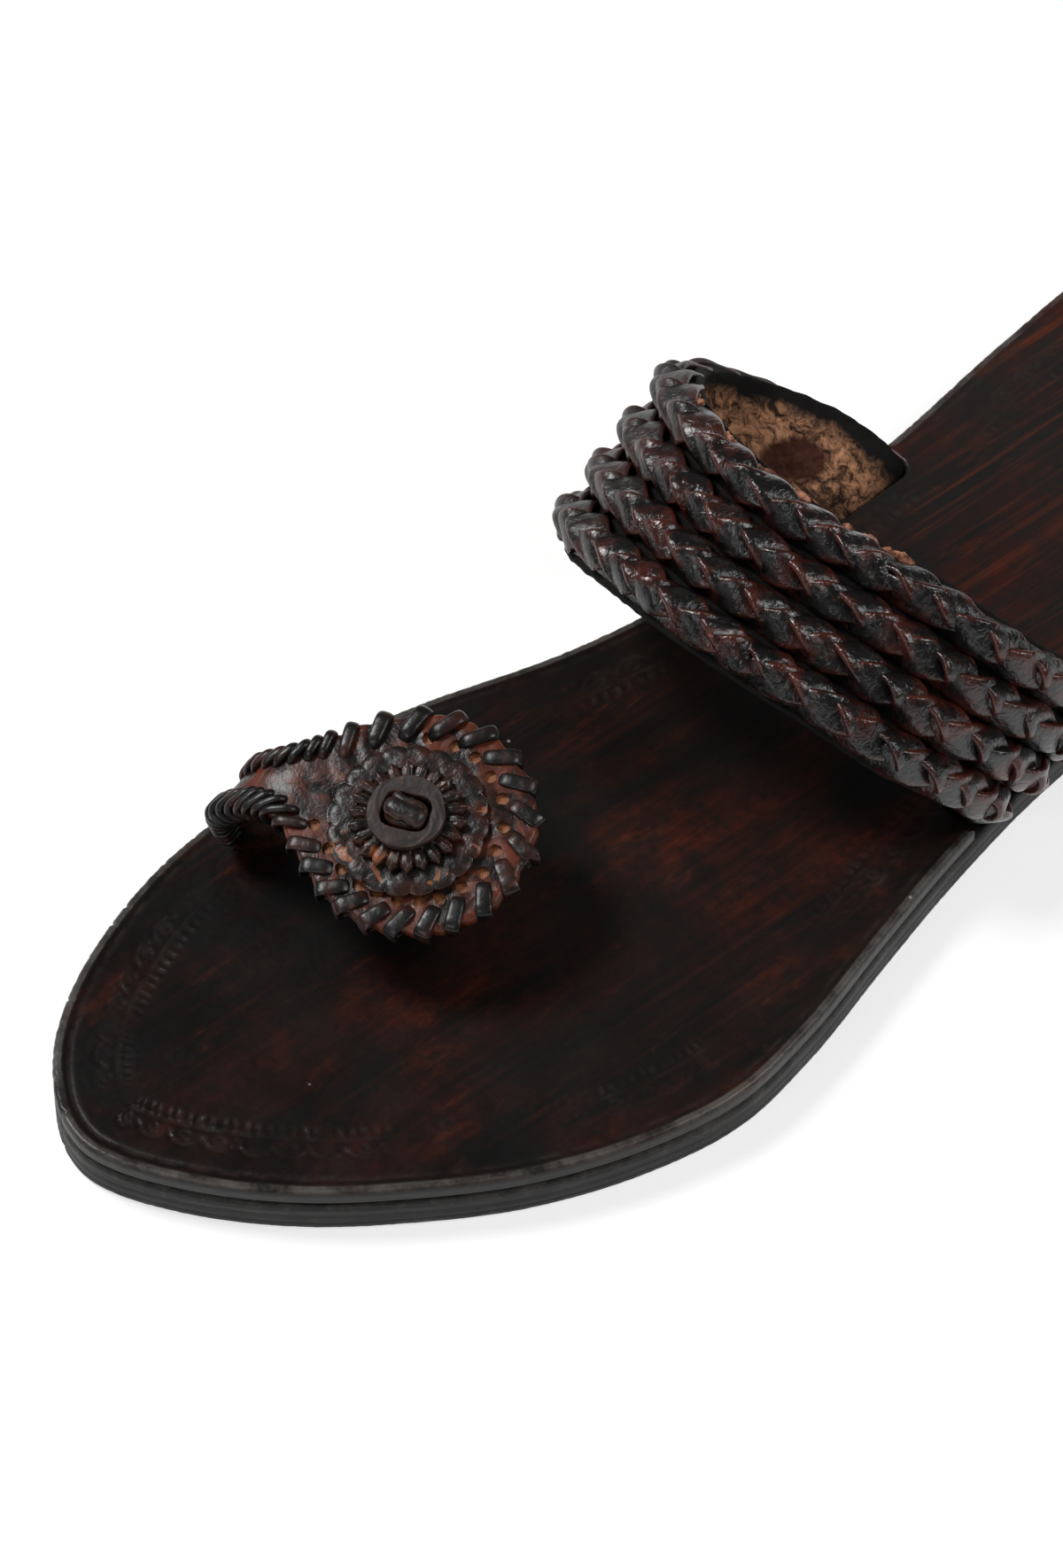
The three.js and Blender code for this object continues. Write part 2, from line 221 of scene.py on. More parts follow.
def ranged(tree, value, low, high, toLow=0.0, toHigh=1.0):
    links = {"Value": value, "From Min": low, "From Max": high, "To Min": toLow, "To Max": toHigh}
    return addNode(tree, "MapRange", links).outputs[0]


def times(tree, a, b):
    return maths(tree, "MULTIPLY", a, b)


def plus(tree, a, b):
    return maths(tree, "ADD", a, b)


def stretched(tree, vector, scales):
    links = {0: vector, 1: scales}
    return addNode(tree, "VectorMath", links, operation="MULTIPLY").outputs[0]


def mixed(tree, factor, a, b):
    links = {0: factor, 6: a, 7: b}  # a mix node's factor and its two colour sockets
    return addNode(tree, "Mix", links, data_type="RGBA").outputs[2]


# The colour with a tone laid over it where the mask says, as strongly as the amount
def tinted(tree, colour, tone, mask, amount):
    return mixed(tree, times(tree, mask, amount), colour, tone)


def noiseOf(tree, vector, scale, detail=4.0, rough=0.55, distort=0.0):
    links = {"Vector": vector, "Scale": scale, "Detail": detail, "Roughness": rough}
    links["Distortion"] = distort
    return addNode(tree, "TexNoise", links).outputs["Fac"]


# Fine pebbled grain with pores
def buildGrain():
    tree, given, made = nodeGroup(
        "leatherGrain",
        [("Vector", "Vector", None), ("Scale", "Float", 900.0)],
        [("Height", "Float")],
    )
    vector = given.outputs["Vector"]
    scale = given.outputs["Scale"]
    cells = addNode(tree, "TexVoronoi", {"Vector": vector, "Scale": scale}, feature="SMOOTH_F1")
    fine = noiseOf(tree, vector, times(tree, scale, 0.6), 5.0, 0.65)
    height = plus(tree, times(tree, cells.outputs["Distance"], 0.6), fine)
    tree.links.new(height, made.inputs["Height"])
    return tree


# Long soft streaks along the length of the sole
def buildStreaks():
    tree, given, made = nodeGroup(
        "lengthStreaks",
        [("Vector", "Vector", None), ("Turn", "Float", 0.0)],
        [("Streak", "Float"), ("Hairline", "Float")],
    )
    turn = addNode(
        tree,
        "VectorRotate",
        {"Vector": given.outputs["Vector"], "Angle": given.outputs["Turn"]},
        rotation_type="Z_AXIS",
    )
    wide = stretched(tree, turn.outputs[0], (120, 30, 60))
    thin = stretched(tree, turn.outputs[0], (900, 26, 60))
    broad = noiseOf(tree, wide, 1.0, 5.0, 0.62, 0.4)
    hair = noiseOf(tree, thin, 1.0, 3.0, 0.5, 0.2)
    tree.links.new(ranged(tree, broad, 0.42, 0.72), made.inputs["Streak"])
    tree.links.new(ranged(tree, hair, 0.5, 0.78), made.inputs["Hairline"])
    return tree


# Rubbed edges and painted shade: raised edges seen by the surface's own sharpness, broken up by noise, mark
# the rubbed wear; the hollows seen the same way mark where shade is painted
def buildRubAndHollowShade():
    tree, given, made = nodeGroup(
        "edgeRubAndHollowShade",
        [("Vector", "Vector", None), ("Low", "Float", 0.51), ("High", "Float", 0.58)],
        [("Raised", "Float"), ("HollowShade", "Float")],
    )
    point = addNode(tree, "NewGeometry").outputs["Pointiness"]
    broken = ranged(tree, noiseOf(tree, given.outputs["Vector"], 420.0, 5.0, 0.7), 0.35, 0.65, -0.03, 0.03)
    shaken = plus(tree, point, broken)
    raised = ranged(tree, shaken, given.outputs["Low"], given.outputs["High"])
    hollowShade = ranged(tree, point, 0.49, 0.42)
    tree.links.new(raised, made.inputs["Raised"])
    tree.links.new(hollowShade, made.inputs["HollowShade"])
    return tree


# Sparse dust specks and lint
def buildDust():
    tree, given, made = nodeGroup(
        "dustSpecks",
        [("Vector", "Vector", None), ("Amount", "Float", 0.08)],
        [("Speck", "Float")],
    )
    vector = given.outputs["Vector"]
    cells = addNode(tree, "TexVoronoi", {"Vector": vector, "Scale": 260.0})
    pick = addNode(tree, "SeparateColor", {"Color": cells.outputs["Color"]}).outputs[0]
    chosen = maths(tree, "LESS_THAN", pick, given.outputs["Amount"])
    near = ranged(tree, cells.outputs["Distance"], 0.09, 0.03)
    tree.links.new(times(tree, chosen, near), made.inputs["Speck"])
    return tree


groups = {"grain": buildGrain(), "streaks": buildStreaks(), "rubAndShade": buildRubAndHollowShade(), "dust": buildDust()}


def useGroup(tree, key, links):
    return addNode(tree, "Group", links, node_tree=groups[key]).outputs


def dusted(tree, vector, colour, amount, tone=(0.3, 0.27, 0.24, 1)):
    return mixed(tree, useGroup(tree, "dust", {"Vector": vector, "Amount": amount})["Speck"], colour, tone)


def grainOf(tree, vector, scale):
    return useGroup(tree, "grain", {"Vector": vector, "Scale": scale})["Height"]


def attribute(tree, name):
    return addNode(tree, "Attribute", attribute_name=name).outputs["Fac"]


def newMaterial(name):
    material = bpy.data.materials.new(name)
    material.use_nodes = True
    tree = material.node_tree
    tree.nodes.clear()
    out = addNode(tree, "OutputMaterial")
    shader = addNode(tree, "BsdfPrincipled")
    tree.links.new(shader.outputs[0], out.inputs["Surface"])
    vector = addNode(tree, "TexCoord").outputs["Object"]
    return material, tree, shader, vector


def finishShader(tree, shader, colour, rough, heights, specular=0.5):
    tree.links.new(colour, shader.inputs["Base Color"])
    tree.links.new(rough, shader.inputs["Roughness"])
    shader.inputs["Specular IOR Level"].default_value = specular
    normal = None
    for height, strength, distance in heights:
        links = {"Height": height, "Strength": strength, "Distance": distance}
        if normal:
            links["Normal"] = normal
        normal = addNode(tree, "Bump", links).outputs[0]
    tree.links.new(normal, shader.inputs["Normal"])


# Burnished leather: dark face, warm colour showing through where it is rubbed, painted shade darkening the
# hollows, dust specks
def burnished(name, look):
    material, tree, shader, vector = newMaterial(name)
    patch = noiseOf(tree, vector, look["patchScale"], 5.0, 0.6, 0.3)
    warm = ranged(tree, patch, look["patchLow"], look["patchHigh"])
    rubAndShade = useGroup(tree, "rubAndShade", {"Vector": vector, "Low": look["rubLow"], "High": look["rubHigh"]})
    colour = mixed(tree, warm, look["dark"], look["warm"])
    colour = tinted(tree, colour, look["rubbed"], rubAndShade["Raised"], look["rubAmount"])
    # painted shade: the hollows darkened nearly to black
    colour = tinted(tree, colour, (0.004, 0.003, 0.003, 1), rubAndShade["HollowShade"], 0.85)
    if look.get("torn"):
        cracks = noiseOf(tree, vector, 130.0, 3.0, 0.6, 1.5)
        torn = times(tree, ranged(tree, cracks, 0.66, 0.69), ranged(tree, attribute(tree, "rim"), 0.6, 0.8))
        colour = tinted(tree, colour, (0.3, 0.1, 0.035, 1), torn, look["torn"])
    colour = dusted(tree, vector, colour, look["dust"])
    grain = grainOf(tree, vector, look["grainScale"])
    broad = noiseOf(tree, vector, 260.0, 4.0, 0.6)
    rough = ranged(tree, broad, 0.3, 0.7, look["roughLow"], look["roughHigh"])
    heights = [(broad, look["lumpDepth"], 0.0006), (grain, look["grainDepth"], 0.00012)]
    finishShader(tree, shader, colour, rough, heights, look["specular"])
    return material


# Sole
soleLook = {
    "rimTone": (0.0125, 0.0115, 0.011, 1),  # wall of the layers
    "rimPale": (0.12, 0.11, 0.1, 1),  # worn top bead
    "bed": (0.0072, 0.0065, 0.0061, 1),
    # painted sheen: the bed colour is darker at the toe and lighter at the heel, standing in for a sheen that
    # grows towards the heel
    "bedToe": (0.0022, 0.0019, 0.0018, 1),
    "bedHeelSheen": (0.0175, 0.0156, 0.015, 1),
    "bedWarm": (0.075, 0.012, 0.0055, 1),
    "bedHot": (0.19, 0.038, 0.012, 1),
    "warmAmount": 0.7,
    "stampDepth": 0.24,
    "hollowDepth": 0.5,  # foot prints pressed into the bed
    "wearSeed": 3,
}


def soleOutline(count):
    ring = [(soleTips["toeX"], 0)]
    ring += [(lateral, y) for y, medial, lateral in soleSections]
    ring += [(soleTips["heelX"], soleTips["length"])]
    ring += [(medial, y) for y, medial, lateral in reversed(soleSections)]
    fine = splineThrough(ring, 40, closed=True)
    fine = np.vstack([fine, fine[:1]])
    run = runLength(fine)
    at = np.arange(count) / count * run[-1]
    return sampleAt(fine, run, at), at


def inwardNormals(loop):
    along = unit(np.roll(loop, -1, axis=0) - np.roll(loop, 1, axis=0))
    return np.stack([-along[:, 1], along[:, 0]], axis=1)


def insideNotch(points, grow):
    inside = np.zeros(len(points), bool)
    for x0, x1, y0, y1 in notches:
        x, y = points[:, 0], points[:, 1]
        inside |= (x > x0 - grow) & (x < x1 + grow) & (y > y0 - grow) & (y < y1 + grow)
    return inside


# The insole's outline steps round the strap's feet
def notchedOutline(loop):
    inside = insideNotch(loop, 0)
    start = int(np.argmax(~inside & np.roll(inside, 1)))
    loop = np.roll(loop, -start, axis=0)
    inside = np.roll(inside, -start)
    out = []
    k = 0
    while k < len(loop):
        if not inside[k]:
            out.append(loop[k])
            k += 1
            continue
        end = k
        while end < len(loop) and inside[end]:
            end += 1
        x0, x1, y0, y1 = notches[0] if loop[k][0] < 0 else notches[1]
        inner = x1 if loop[k][0] < 0 else x0
        first, last = (y0, y1) if loop[k][1] < loop[end - 1][1] else (y1, y0)
        turn = 1 if last > first else -1
        edge = np.array([[loop[k][0], first], [inner, first], [inner, last], [loop[end - 1][0], last]])
        run = runLength(edge)
        path = sampleAt(edge, run, np.arange(0, run[-1], 0.5))
        corners = [(edge[1], first + notchRadius * turn), (edge[2], last - notchRadius * turn)]
        outward = 1 if inner > 0 else -1
        for corner, centreY in corners:
            centre = np.array([inner + outward * notchRadius, centreY])
            near = np.all(np.abs(path - [inner, corner[1]]) < notchRadius, axis=1)
            path[near] = centre + unit(path[near] - centre) * notchRadius
        out.extend(path)
        k = end
    return np.array(out)


# Triangles over flat points that keep to the given edges, with each triangle's centre
def flatNet(points, edges):
    made = geometry.delaunay_2d_cdt([Vector(p) for p in points], edges, [], 1, 1e-7, True)
    back = {index: sources[0] for index, sources in enumerate(made[3]) if sources}
    faces = [[back[i] for i in face] for face in made[2] if all(i in back for i in face)]
    return faces, np.array([points[face].mean(axis=0) for face in faces])


def fillLoop(loop, inner):
    points = np.vstack([loop, inner]) if len(inner) else loop
    n = len(loop)
    edges = [(k, (k + 1) % n) for k in range(n)]
    faces, centres = flatNet(points, edges)
    keep = insidePolygon(centres, loop)
    return points, [face for face, kept in zip(faces, keep) if kept]


def hexPoints(spacing, keep):
    rows = []
    y = 0.0
    odd = 0
    while y < soleTips["length"]:
        x = np.arange(-52, 52, spacing) + (spacing / 2 if odd else 0)
        rows.append(np.stack([x, np.full(len(x), y)], axis=1))
        y += spacing * 0.866
        odd = 1 - odd
    points = np.vstack(rows)
    points = points + rng.uniform(-0.15, 0.15, points.shape) * spacing
    return points[keep(points)]


def insidePolygon(points, loop):
    inside = np.zeros(len(points), bool)
    ax, ay = loop[:, 0], loop[:, 1]
    bx, by = np.roll(ax, -1), np.roll(ay, -1)
    for x0, y0, x1, y1 in zip(ax, ay, bx, by):
        if y0 == y1:
            continue
        hit = ((y0 > points[:, 1]) != (y1 > points[:, 1])) & (
            points[:, 0] < (x1 - x0) * (points[:, 1] - y0) / (y1 - y0) + x0
        )
        inside ^= hit
    return inside


def depthInside(points, loop):
    tree = KDTree(len(loop))
    for k, p in enumerate(loop):
        tree.insert((p[0], p[1], 0), k)
    tree.balance()
    return np.array([tree.find((p[0], p[1], 0))[2] for p in points])


edgeLoop, edgeRun = soleOutline(1150)
edgeIn = inwardNormals(edgeLoop)


# Worn nicks on the rim: small bites, most of them at the medial side of the toe
def rimWear(points, seed):
    angle = np.arctan2(points[:, 1] - 120, points[:, 0]) * 60
    bite = np.clip(smoothNoise(angle * 4.1, seed, 1.0) - 0.55, 0, 1) * 0.9
    toe = np.clip((75 - points[:, 1]) / 60, 0, 1) * np.clip(-points[:, 0] / 25, 0, 1)
    return bite * (0.25 + 1.1 * toe) + 0.06 * smoothNoise(angle * 9, seed + 1, 1.0)


def stampHeight(run, depth):
    # from the rim inwards: a crease line, a chain of arches with eyelets, a thin line, a row of ticks
    def line(at, width):
        return np.exp(-(((depth - at) / width) ** 2))

    ticks = np.clip(np.sin(run * 2 * math.pi / 1.9) * 2 - 0.5, 0, 1)
    ticks = ticks * np.clip(1.5 - np.abs(depth - 10.6) * 1.5, 0, 1)
    cell = (run / 5.6) % 1 - 0.5
    arch = 8.2 - 2.2 * np.sqrt(np.clip(1 - (cell / 0.5) ** 2, 0, 1))
    chain = np.exp(-(((depth - arch) / 0.34) ** 2))
    ring = np.hypot(cell * 5.6, depth - 7.6)
    eyelet = np.exp(-(((ring - 0.7) / 0.3) ** 2))
    worn = np.clip(0.5 + 0.7 * smoothNoise(run, 5, 16.0) + 0.3 * smoothNoise(run, 6, 3.0), 0.08, 1)
    marks = np.clip(line(9.1, 0.25) + ticks + 0.8 * chain + 0.7 * eyelet, 0, 1) * worn
    return marks + 0.8 * line(2.4, 0.3)


def buildSoleLayer(name, loop, high, profile, inner, top):
    inward = inwardNormals(loop)
    wear = rimWear(loop, soleLook["wearSeed"])
    n = len(loop)
    rings = []
    for inset, z, amount in profile:
        shiftIn = (inset + wear * amount)[:, None]
        rings.append(np.column_stack([loop + inward * shiftIn, np.full(n, z)]))
    points = np.vstack(rings)
    faces = gridQuads(len(rings), n, wrapCols=True)
    faces += [f[::-1] for f in fillLoop(rings[0][:, :2], [])[1]]
    topFill, topFaces = fillLoop(rings[-1][:, :2], inner)
    base = (len(rings) - 1) * n
    faces += [[i + base for i in f] for f in topFaces]
    extra = topFill[n:]
    z, values = top(extra)
    points = np.vstack([points, np.column_stack([extra, z])])
    columns = {}
    for key, (rest, column) in values.items():
        heights = np.array([z for _, z, _ in profile])
        bead = rest * np.exp(-(((heights - high + 0.15) / 0.22) ** 2))  # strongest just below the top
        ringValues = np.where(insideNotch(loop, 0.6), 0, bead[:, None]).ravel()
        columns[key] = np.concatenate([ringValues, column])
    return makePiece(name, points, faces, columns)


def bedHeight(points, stamp):
    # ball, toes and heel pressed in a little
    prints = [(-4, 74, 27, 22, 1.0), (-2, 226, 20, 24, 0.9), (-22, 34, 9, 10, 0.7), (2, 40, 12, 12, 0.4)]
    dip = np.zeros(len(points))
    for x, y, rx, ry, amount in prints:
        dip += amount * np.exp(-(((points[:, 0] - x) / rx) ** 2 + ((points[:, 1] - y) / ry) ** 2))
    ripple = 0.05 * smoothNoise(points[:, 0] * 1.7 + points[:, 1] * 0.3, 21, 4.0)
    return insoleTop - soleLook["hollowDepth"] * dip + ripple - soleLook["stampDepth"] * stamp


def buildInsole():
    loop = notchedOutline(edgeLoop)
    bandDepths = np.arange(1.4, 12.4, 0.46)
    band = []
    for depth in bandDepths:
        ring = edgeLoop + edgeIn * depth
        near = depthInside(ring, edgeLoop)
        keep = near > depth - 0.12
        band.append(np.column_stack([ring, edgeRun, np.full(len(ring), depth)])[keep])
    band = np.vstack(band)
    band = band[~insideNotch(band[:, :2], 1.5)]
    coarse = hexPoints(2.1, lambda p: insidePolygon(p, edgeLoop) & ~insideNotch(p, 1.8))
    coarse = coarse[depthInside(coarse, edgeLoop) > 13.2]
    close = hexPoints(0.9, lambda p: insideNotch(p, 3.2) & ~insideNotch(p, 1.5) & insidePolygon(p, edgeLoop))
    close = close[depthInside(close, edgeLoop) > 1.3]
    close = close[depthInside(close, band) > 0.4]
    coarse = np.vstack([coarse, close])
    inner = np.vstack([band[:, :2], coarse])
    runs = np.concatenate([band[:, 2], np.zeros(len(coarse))])
    depths = np.concatenate([band[:, 3], np.full(len(coarse), 30.0)])
    stamp = np.where(depths < 13, stampHeight(runs, depths), 0)

    def top(extra):
        return bedHeight(extra, stamp), {"stamp": (0.0, stamp), "rim": (1.0, np.zeros(len(extra)))}

    profile = [
        (0.6, insoleFloor, 0.2), (0.15, insoleFloor + 0.3, 0.2), (0.04, insoleFloor + 0.7, 0.3),
        (0.12, insoleFloor + 1.1, 0.4), (0.0, insoleTop - 1.4, 0.5), (0.05, insoleTop - 1.1, 0.6),
        (0.02, insoleTop - 0.7, 0.8), (0.14, insoleTop - 0.32, 1.0), (0.36, insoleTop - 0.08, 1.0),
        (0.75, insoleTop, 1.0), (1.05, insoleTop - 0.03, 0.7),
    ]
    return buildSoleLayer("insoleShown", loop, insoleTop, profile, inner, top)


def buildOutsole():
    inner = hexPoints(4.0, lambda p: insidePolygon(p, edgeLoop))
    inner = inner[depthInside(inner, edgeLoop) > 3]
    profile = [
        (0.9, 0.0, 0.4), (0.35, 0.12, 0.5), (0.06, 0.5, 0.5), (0.0, 1.1, 0.3), (0.1, 1.5, 0.3),
        (0.02, 1.9, 0.3), (0.0, 2.7, 0.2), (0.09, 3.05, 0.2), (0.02, 3.4, 0.3), (0.0, 4.3, 0.3),
        (0.05, 4.9, 0.4), (0.25, 5.35, 0.5), (0.6, outsoleTop, 0.5),
    ]

    def top(extra):
        return np.full(len(extra), outsoleTop), {}

    return buildSoleLayer("outsoleShown", edgeLoop, outsoleTop, profile, inner, top)


def soleWallMaterial():
    material, tree, shader, vector = newMaterial("soleEdgeLeather")
    layers = stretched(tree, vector, (40, 40, 1500))
    lines = noiseOf(tree, layers, 1.0, 4.0, 0.6)
    patch = noiseOf(tree, vector, 90.0, 5.0, 0.65)
    colour = mixed(tree, ranged(tree, patch, 0.3, 0.7), (0.0075, 0.007, 0.0066, 1), soleLook["rimTone"])
    colour = mixed(tree, ranged(tree, lines, 0.52, 0.75, 0.0, 0.5), colour, (0.05, 0.044, 0.04, 1))
    rubAndShade = useGroup(tree, "rubAndShade", {"Vector": vector, "Low": 0.52, "High": 0.6})
    colour = tinted(tree, colour, soleLook["rimPale"], rubAndShade["Raised"], 0.5)
    colour = dusted(tree, vector, colour, 0.1)
    grain = grainOf(tree, vector, 1300.0)
    rough = ranged(tree, patch, 0.3, 0.7, 0.42, 0.62)
    finishShader(tree, shader, colour, rough, [(lines, 0.5, 0.0004), (grain, 0.4, 0.0001)], 0.28)
    return material


def bedMaterial():
    material, tree, shader, vector = newMaterial("footbedLeather")
    streak = useGroup(tree, "streaks", {"Vector": vector, "Turn": 0.06})
    place = addNode(tree, "SeparateXYZ", {0: vector})
    heel = ranged(tree, place.outputs[1], 0.0, 0.06)
    toe = ranged(tree, place.outputs[1], -0.125, -0.07, 0.35, 1.0)
    cloud = noiseOf(tree, vector, 30.0, 4.0, 0.62, 0.6)
    where = times(tree, toe, ranged(tree, cloud, 0.4, 0.6))
    mottle = ranged(tree, noiseOf(tree, vector, 230.0, 5.0, 0.75), 0.38, 0.6, 0.2, 1.0)
    red = times(tree, times(tree, streak["Streak"], where), mottle)
    # painted sheen: the base colour runs from dark at the toe to light at the heel
    base = mixed(tree, heel, mixed(tree, toe, soleLook["bedToe"], soleLook["bed"]), soleLook["bedHeelSheen"])
    colour = mixed(tree, times(tree, red, soleLook["warmAmount"]), base, soleLook["bedWarm"])
    heelward = ranged(tree, heel, 0, 1, 0.12, 0.6)
    hair = times(tree, streak["Hairline"], times(tree, where, heelward))
    colour = mixed(tree, hair, colour, soleLook["bedHot"])
    drawn = stretched(tree, vector, (260, 70, 60))
    blots = ranged(tree, noiseOf(tree, drawn, 1.0, 6.0, 0.72, 0.5), 0.55, 0.68)
    hot = times(tree, times(tree, blots, where), ranged(tree, mottle, 0.2, 1.0, 0.05, 0.3))
    colour = mixed(tree, hot, colour, soleLook["bedHot"])
    stamp = attribute(tree, "stamp")
    ridge = noiseOf(tree, vector, 300.0, 3.0, 0.6)
    colour = tinted(tree, colour, (0.042, 0.028, 0.024, 1), stamp, ranged(tree, ridge, 0.4, 0.65, 0.05, 0.7))
    rim = attribute(tree, "rim")
    wear = ranged(tree, noiseOf(tree, vector, 160.0, 5.0, 0.7), 0.36, 0.58, 0.15, 1.0)
    colour = tinted(tree, colour, soleLook["rimPale"], rim, wear)
    low = ranged(tree, place.outputs[2], 0.0084, 0.0078)
    colour = tinted(tree, colour, (0.016, 0.0145, 0.0135, 1), low, 0.9)
    colour = dusted(tree, vector, colour, 0.035, (0.35, 0.33, 0.3, 1))
    grain = grainOf(tree, vector, 1000.0)
    broad = noiseOf(tree, vector, 70.0, 4.0, 0.6)
    rough = ranged(tree, broad, 0.3, 0.7, 0.27, 0.38)
    heights = [(streak["Hairline"], 0.12, 0.0003), (grain, 0.35, 0.0001)]
    finishShader(tree, shader, colour, rough, heights, 0.24)
    return material


insole = buildInsole()
insole.data.materials.append(bedMaterial())
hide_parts("insole")
outsole = buildOutsole()
outsole.data.materials.append(soleWallMaterial())
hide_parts("outsole")
print("sole made")

# Instep strap
strapLook = {
    "plaits": 4,
    "lobe": 7.6,  # mm from one lobe to the next on the same side
    "sway": 0.235,  # of a plait's width
    "strandHalf": 0.37,  # half width, of a plait's width
    "strandThick": 0.78,
    "cross": 0.92,
    "lift": 1.75,
    "lean": 0.95,  # how far a strip turns down at the plait's side, in radians
    "lining": 1.8,
    "phase": 0.35,  # how far a strand's crossing leads its sway, in radians
}
edgeRows = np.array(strapSections, float)
frontEdge = splineThrough(edgeRows[:, :3], 60)
rearEdge = splineThrough(edgeRows[:, 3:], 60)
bandCentre = (frontEdge + rearEdge) / 2
bandAcross = rearEdge - frontEdge
bandAlong = unit(unit(np.gradient(frontEdge, axis=0)) + unit(np.gradient(rearEdge, axis=0)))
bandOut = unit(np.cross(bandAlong, bandAcross))
bandRun = runLength(bandCentre)


def onBand(run, across, out):
    # across from 0 at the front edge to 1 at the rear edge
    front = sampleAt(frontEdge, bandRun, run)
    width = sampleAt(bandAcross, bandRun, run)
    rise = unit(sampleAt(bandOut, bandRun, run))
    return front + width * np.asarray(across)[:, None] + rise * np.asarray(out)[:, None]


def bandEnds(height):
    z = bandCentre[:, 2]
    above = np.nonzero(z > height)[0]
    return bandRun[above[0]], bandRun[above[-1]]


def buildPlait(index):
    start, end = bandEnds(6.3)
    run = np.arange(start, end, 0.42)
    plaitWidth = np.linalg.norm(sampleAt(bandAcross, bandRun, run), axis=1) / strapLook["plaits"]
    period = 3 * strapLook["lobe"]
    middle = (index + 0.5) / strapLook["plaits"]
    parts = []
    for strand in range(3):
        wander = 0.35 * smoothNoise(run, 40 + index * 5 + strand, 9.0)
        theta = 2 * math.pi * (run / period + strand / 3 + 0.21 * index) + wander
        sway = strapLook["sway"] * (1 + 0.08 * smoothNoise(run, 60 + strand + index, 6.0))
        across = middle + sway * np.sin(theta) / strapLook["plaits"]
        lift = strapLook["lift"] - strapLook["cross"] * np.sin(2 * theta - strapLook["phase"])
        path = onBand(run, across, lift)
        rise = unit(sampleAt(bandOut, bandRun, run))
        wide = unit(sampleAt(bandAcross, bandRun, run))
        lean = strapLook["lean"] * np.sin(theta)
        ups = rise * np.cos(lean)[:, None] + wide * np.sin(lean)[:, None]
        over = np.clip(-np.sin(2 * theta - strapLook["phase"]), 0, 1)
        uneven = smoothNoise(run, 80 + strand, 2.8)
        half = strapLook["strandHalf"] * plaitWidth * (1 + 0.1 * over + 0.05 * uneven)
        bulge = smoothNoise(run, 90 + strand + index, 2.2)
        thick = strapLook["strandThick"] * (1 + 0.28 * over + 0.07 * bulge)
        parts.append(sweep(path, ups, half, thick, around=28, power=0.78))
    points, faces, values = joinParts(parts)
    return makePiece(f"plait_{index + 1}", points, faces, values)


def buildLining():
    start, end = bandEnds(6.0)
    run = np.arange(start, end, 0.9)
    outline = [(a, -1) for a in np.linspace(0.0, 1.0, 30)]
    outline += [(1.006, -0.75), (1.012, -0.4), (1.006, 0.1)]
    outline += [(a, 0.25) for a in np.linspace(0.985, 0.015, 14)]
    outline += [(-0.006, 0.1), (-0.012, -0.4), (-0.006, -0.75)]
    rows = []
    for k, (across, level) in enumerate(outline):
        rough = smoothNoise(run + 37 * k, 120 + k % 9, 1.6) * (0.16 if level <= -1 else 0.1)
        edge = 1 if across < 0.02 or across > 0.98 else 0
        nearFoot = np.clip((14 - sampleAt(bandCentre, bandRun, run)[:, 2]) / 5, 0, 1)
        fray = 0.004 * smoothNoise(run, 150 + k, 1.3)
        side = across + edge * (fray + math.copysign(0.02, across - 0.5) * nearFoot)
        out = level * strapLook["lining"] if level < 0 else level
        rows.append(onBand(run, side, out + rough))
    points = np.stack(rows, axis=1).reshape(-1, 3)
    cols = len(outline)
    faces = gridQuads(len(run), cols, wrapCols=True)
    first = len(points)
    points = np.vstack([points, ringCentre(rows, 0), ringCentre(rows, -1)])
    for k in range(cols):
        j = (k + 1) % cols
        faces.append([first, j, k])
        faces.append([first + 1, (len(run) - 1) * cols + k, (len(run) - 1) * cols + j])
    acrossColumn = np.tile([a for a, _ in outline], len(run))
    innerColumn = np.tile([1.0 if level <= -0.99 else 0.0 for _, level in outline], len(run))
    runColumn = np.repeat(run, cols)
    values = {
        "runAcross": np.concatenate([acrossColumn, [0.5, 0.5]]),
        "innerFace": np.concatenate([innerColumn, [0, 0]]),
        "runAlong": np.concatenate([runColumn, [run[0], run[-1]]]),
    }
    return makePiece("strapLining", points, faces, values)


def buildFlecks():
    # small torn bits of raw leather where the rear plait meets the lining
    parts = []
    run = bandEnds(8)[0] + 14
    while run < bandRun[-1] * 0.66:
        size = rng.uniform(0.5, 1.15)
        reach = np.linspace(-1, 1, 9)[:, None]
        centre = onBand(np.array([run]), [0.985 + rng.uniform(-0.03, 0.01)], [rng.uniform(0.5, 1.5)])[0]
        lead = onBand(np.array([run + 1.0]), [0.985], [1.0])[0] - onBand(np.array([run]), [0.985], [1.0])[0]
        rise = unit(sampleAt(bandOut, bandRun, np.array([run])))[0] + rng.uniform(-0.5, 0.5, 3)
        path = centre + lead * reach * size * rng.uniform(1.0, 2.0) + rise * (1 - reach**2) * 0.2
        fade = np.sqrt(1.02 - reach[:, 0] ** 2) * (1 + 0.3 * rng.uniform(-1, 1, 9))
        ups = np.tile(unit(rise), (9, 1))
        parts.append(sweep(path, ups, 0.75 * size * fade, 0.32 * fade, around=10, power=1.0))
        run += rng.choice([1.8, 3.2, 5.5])
    points, faces, values = joinParts(parts)
    return makePiece("rawFlecks", points, faces, values)


def ringCentre(rows, index):
    return np.mean([row[index] for row in rows], axis=0)


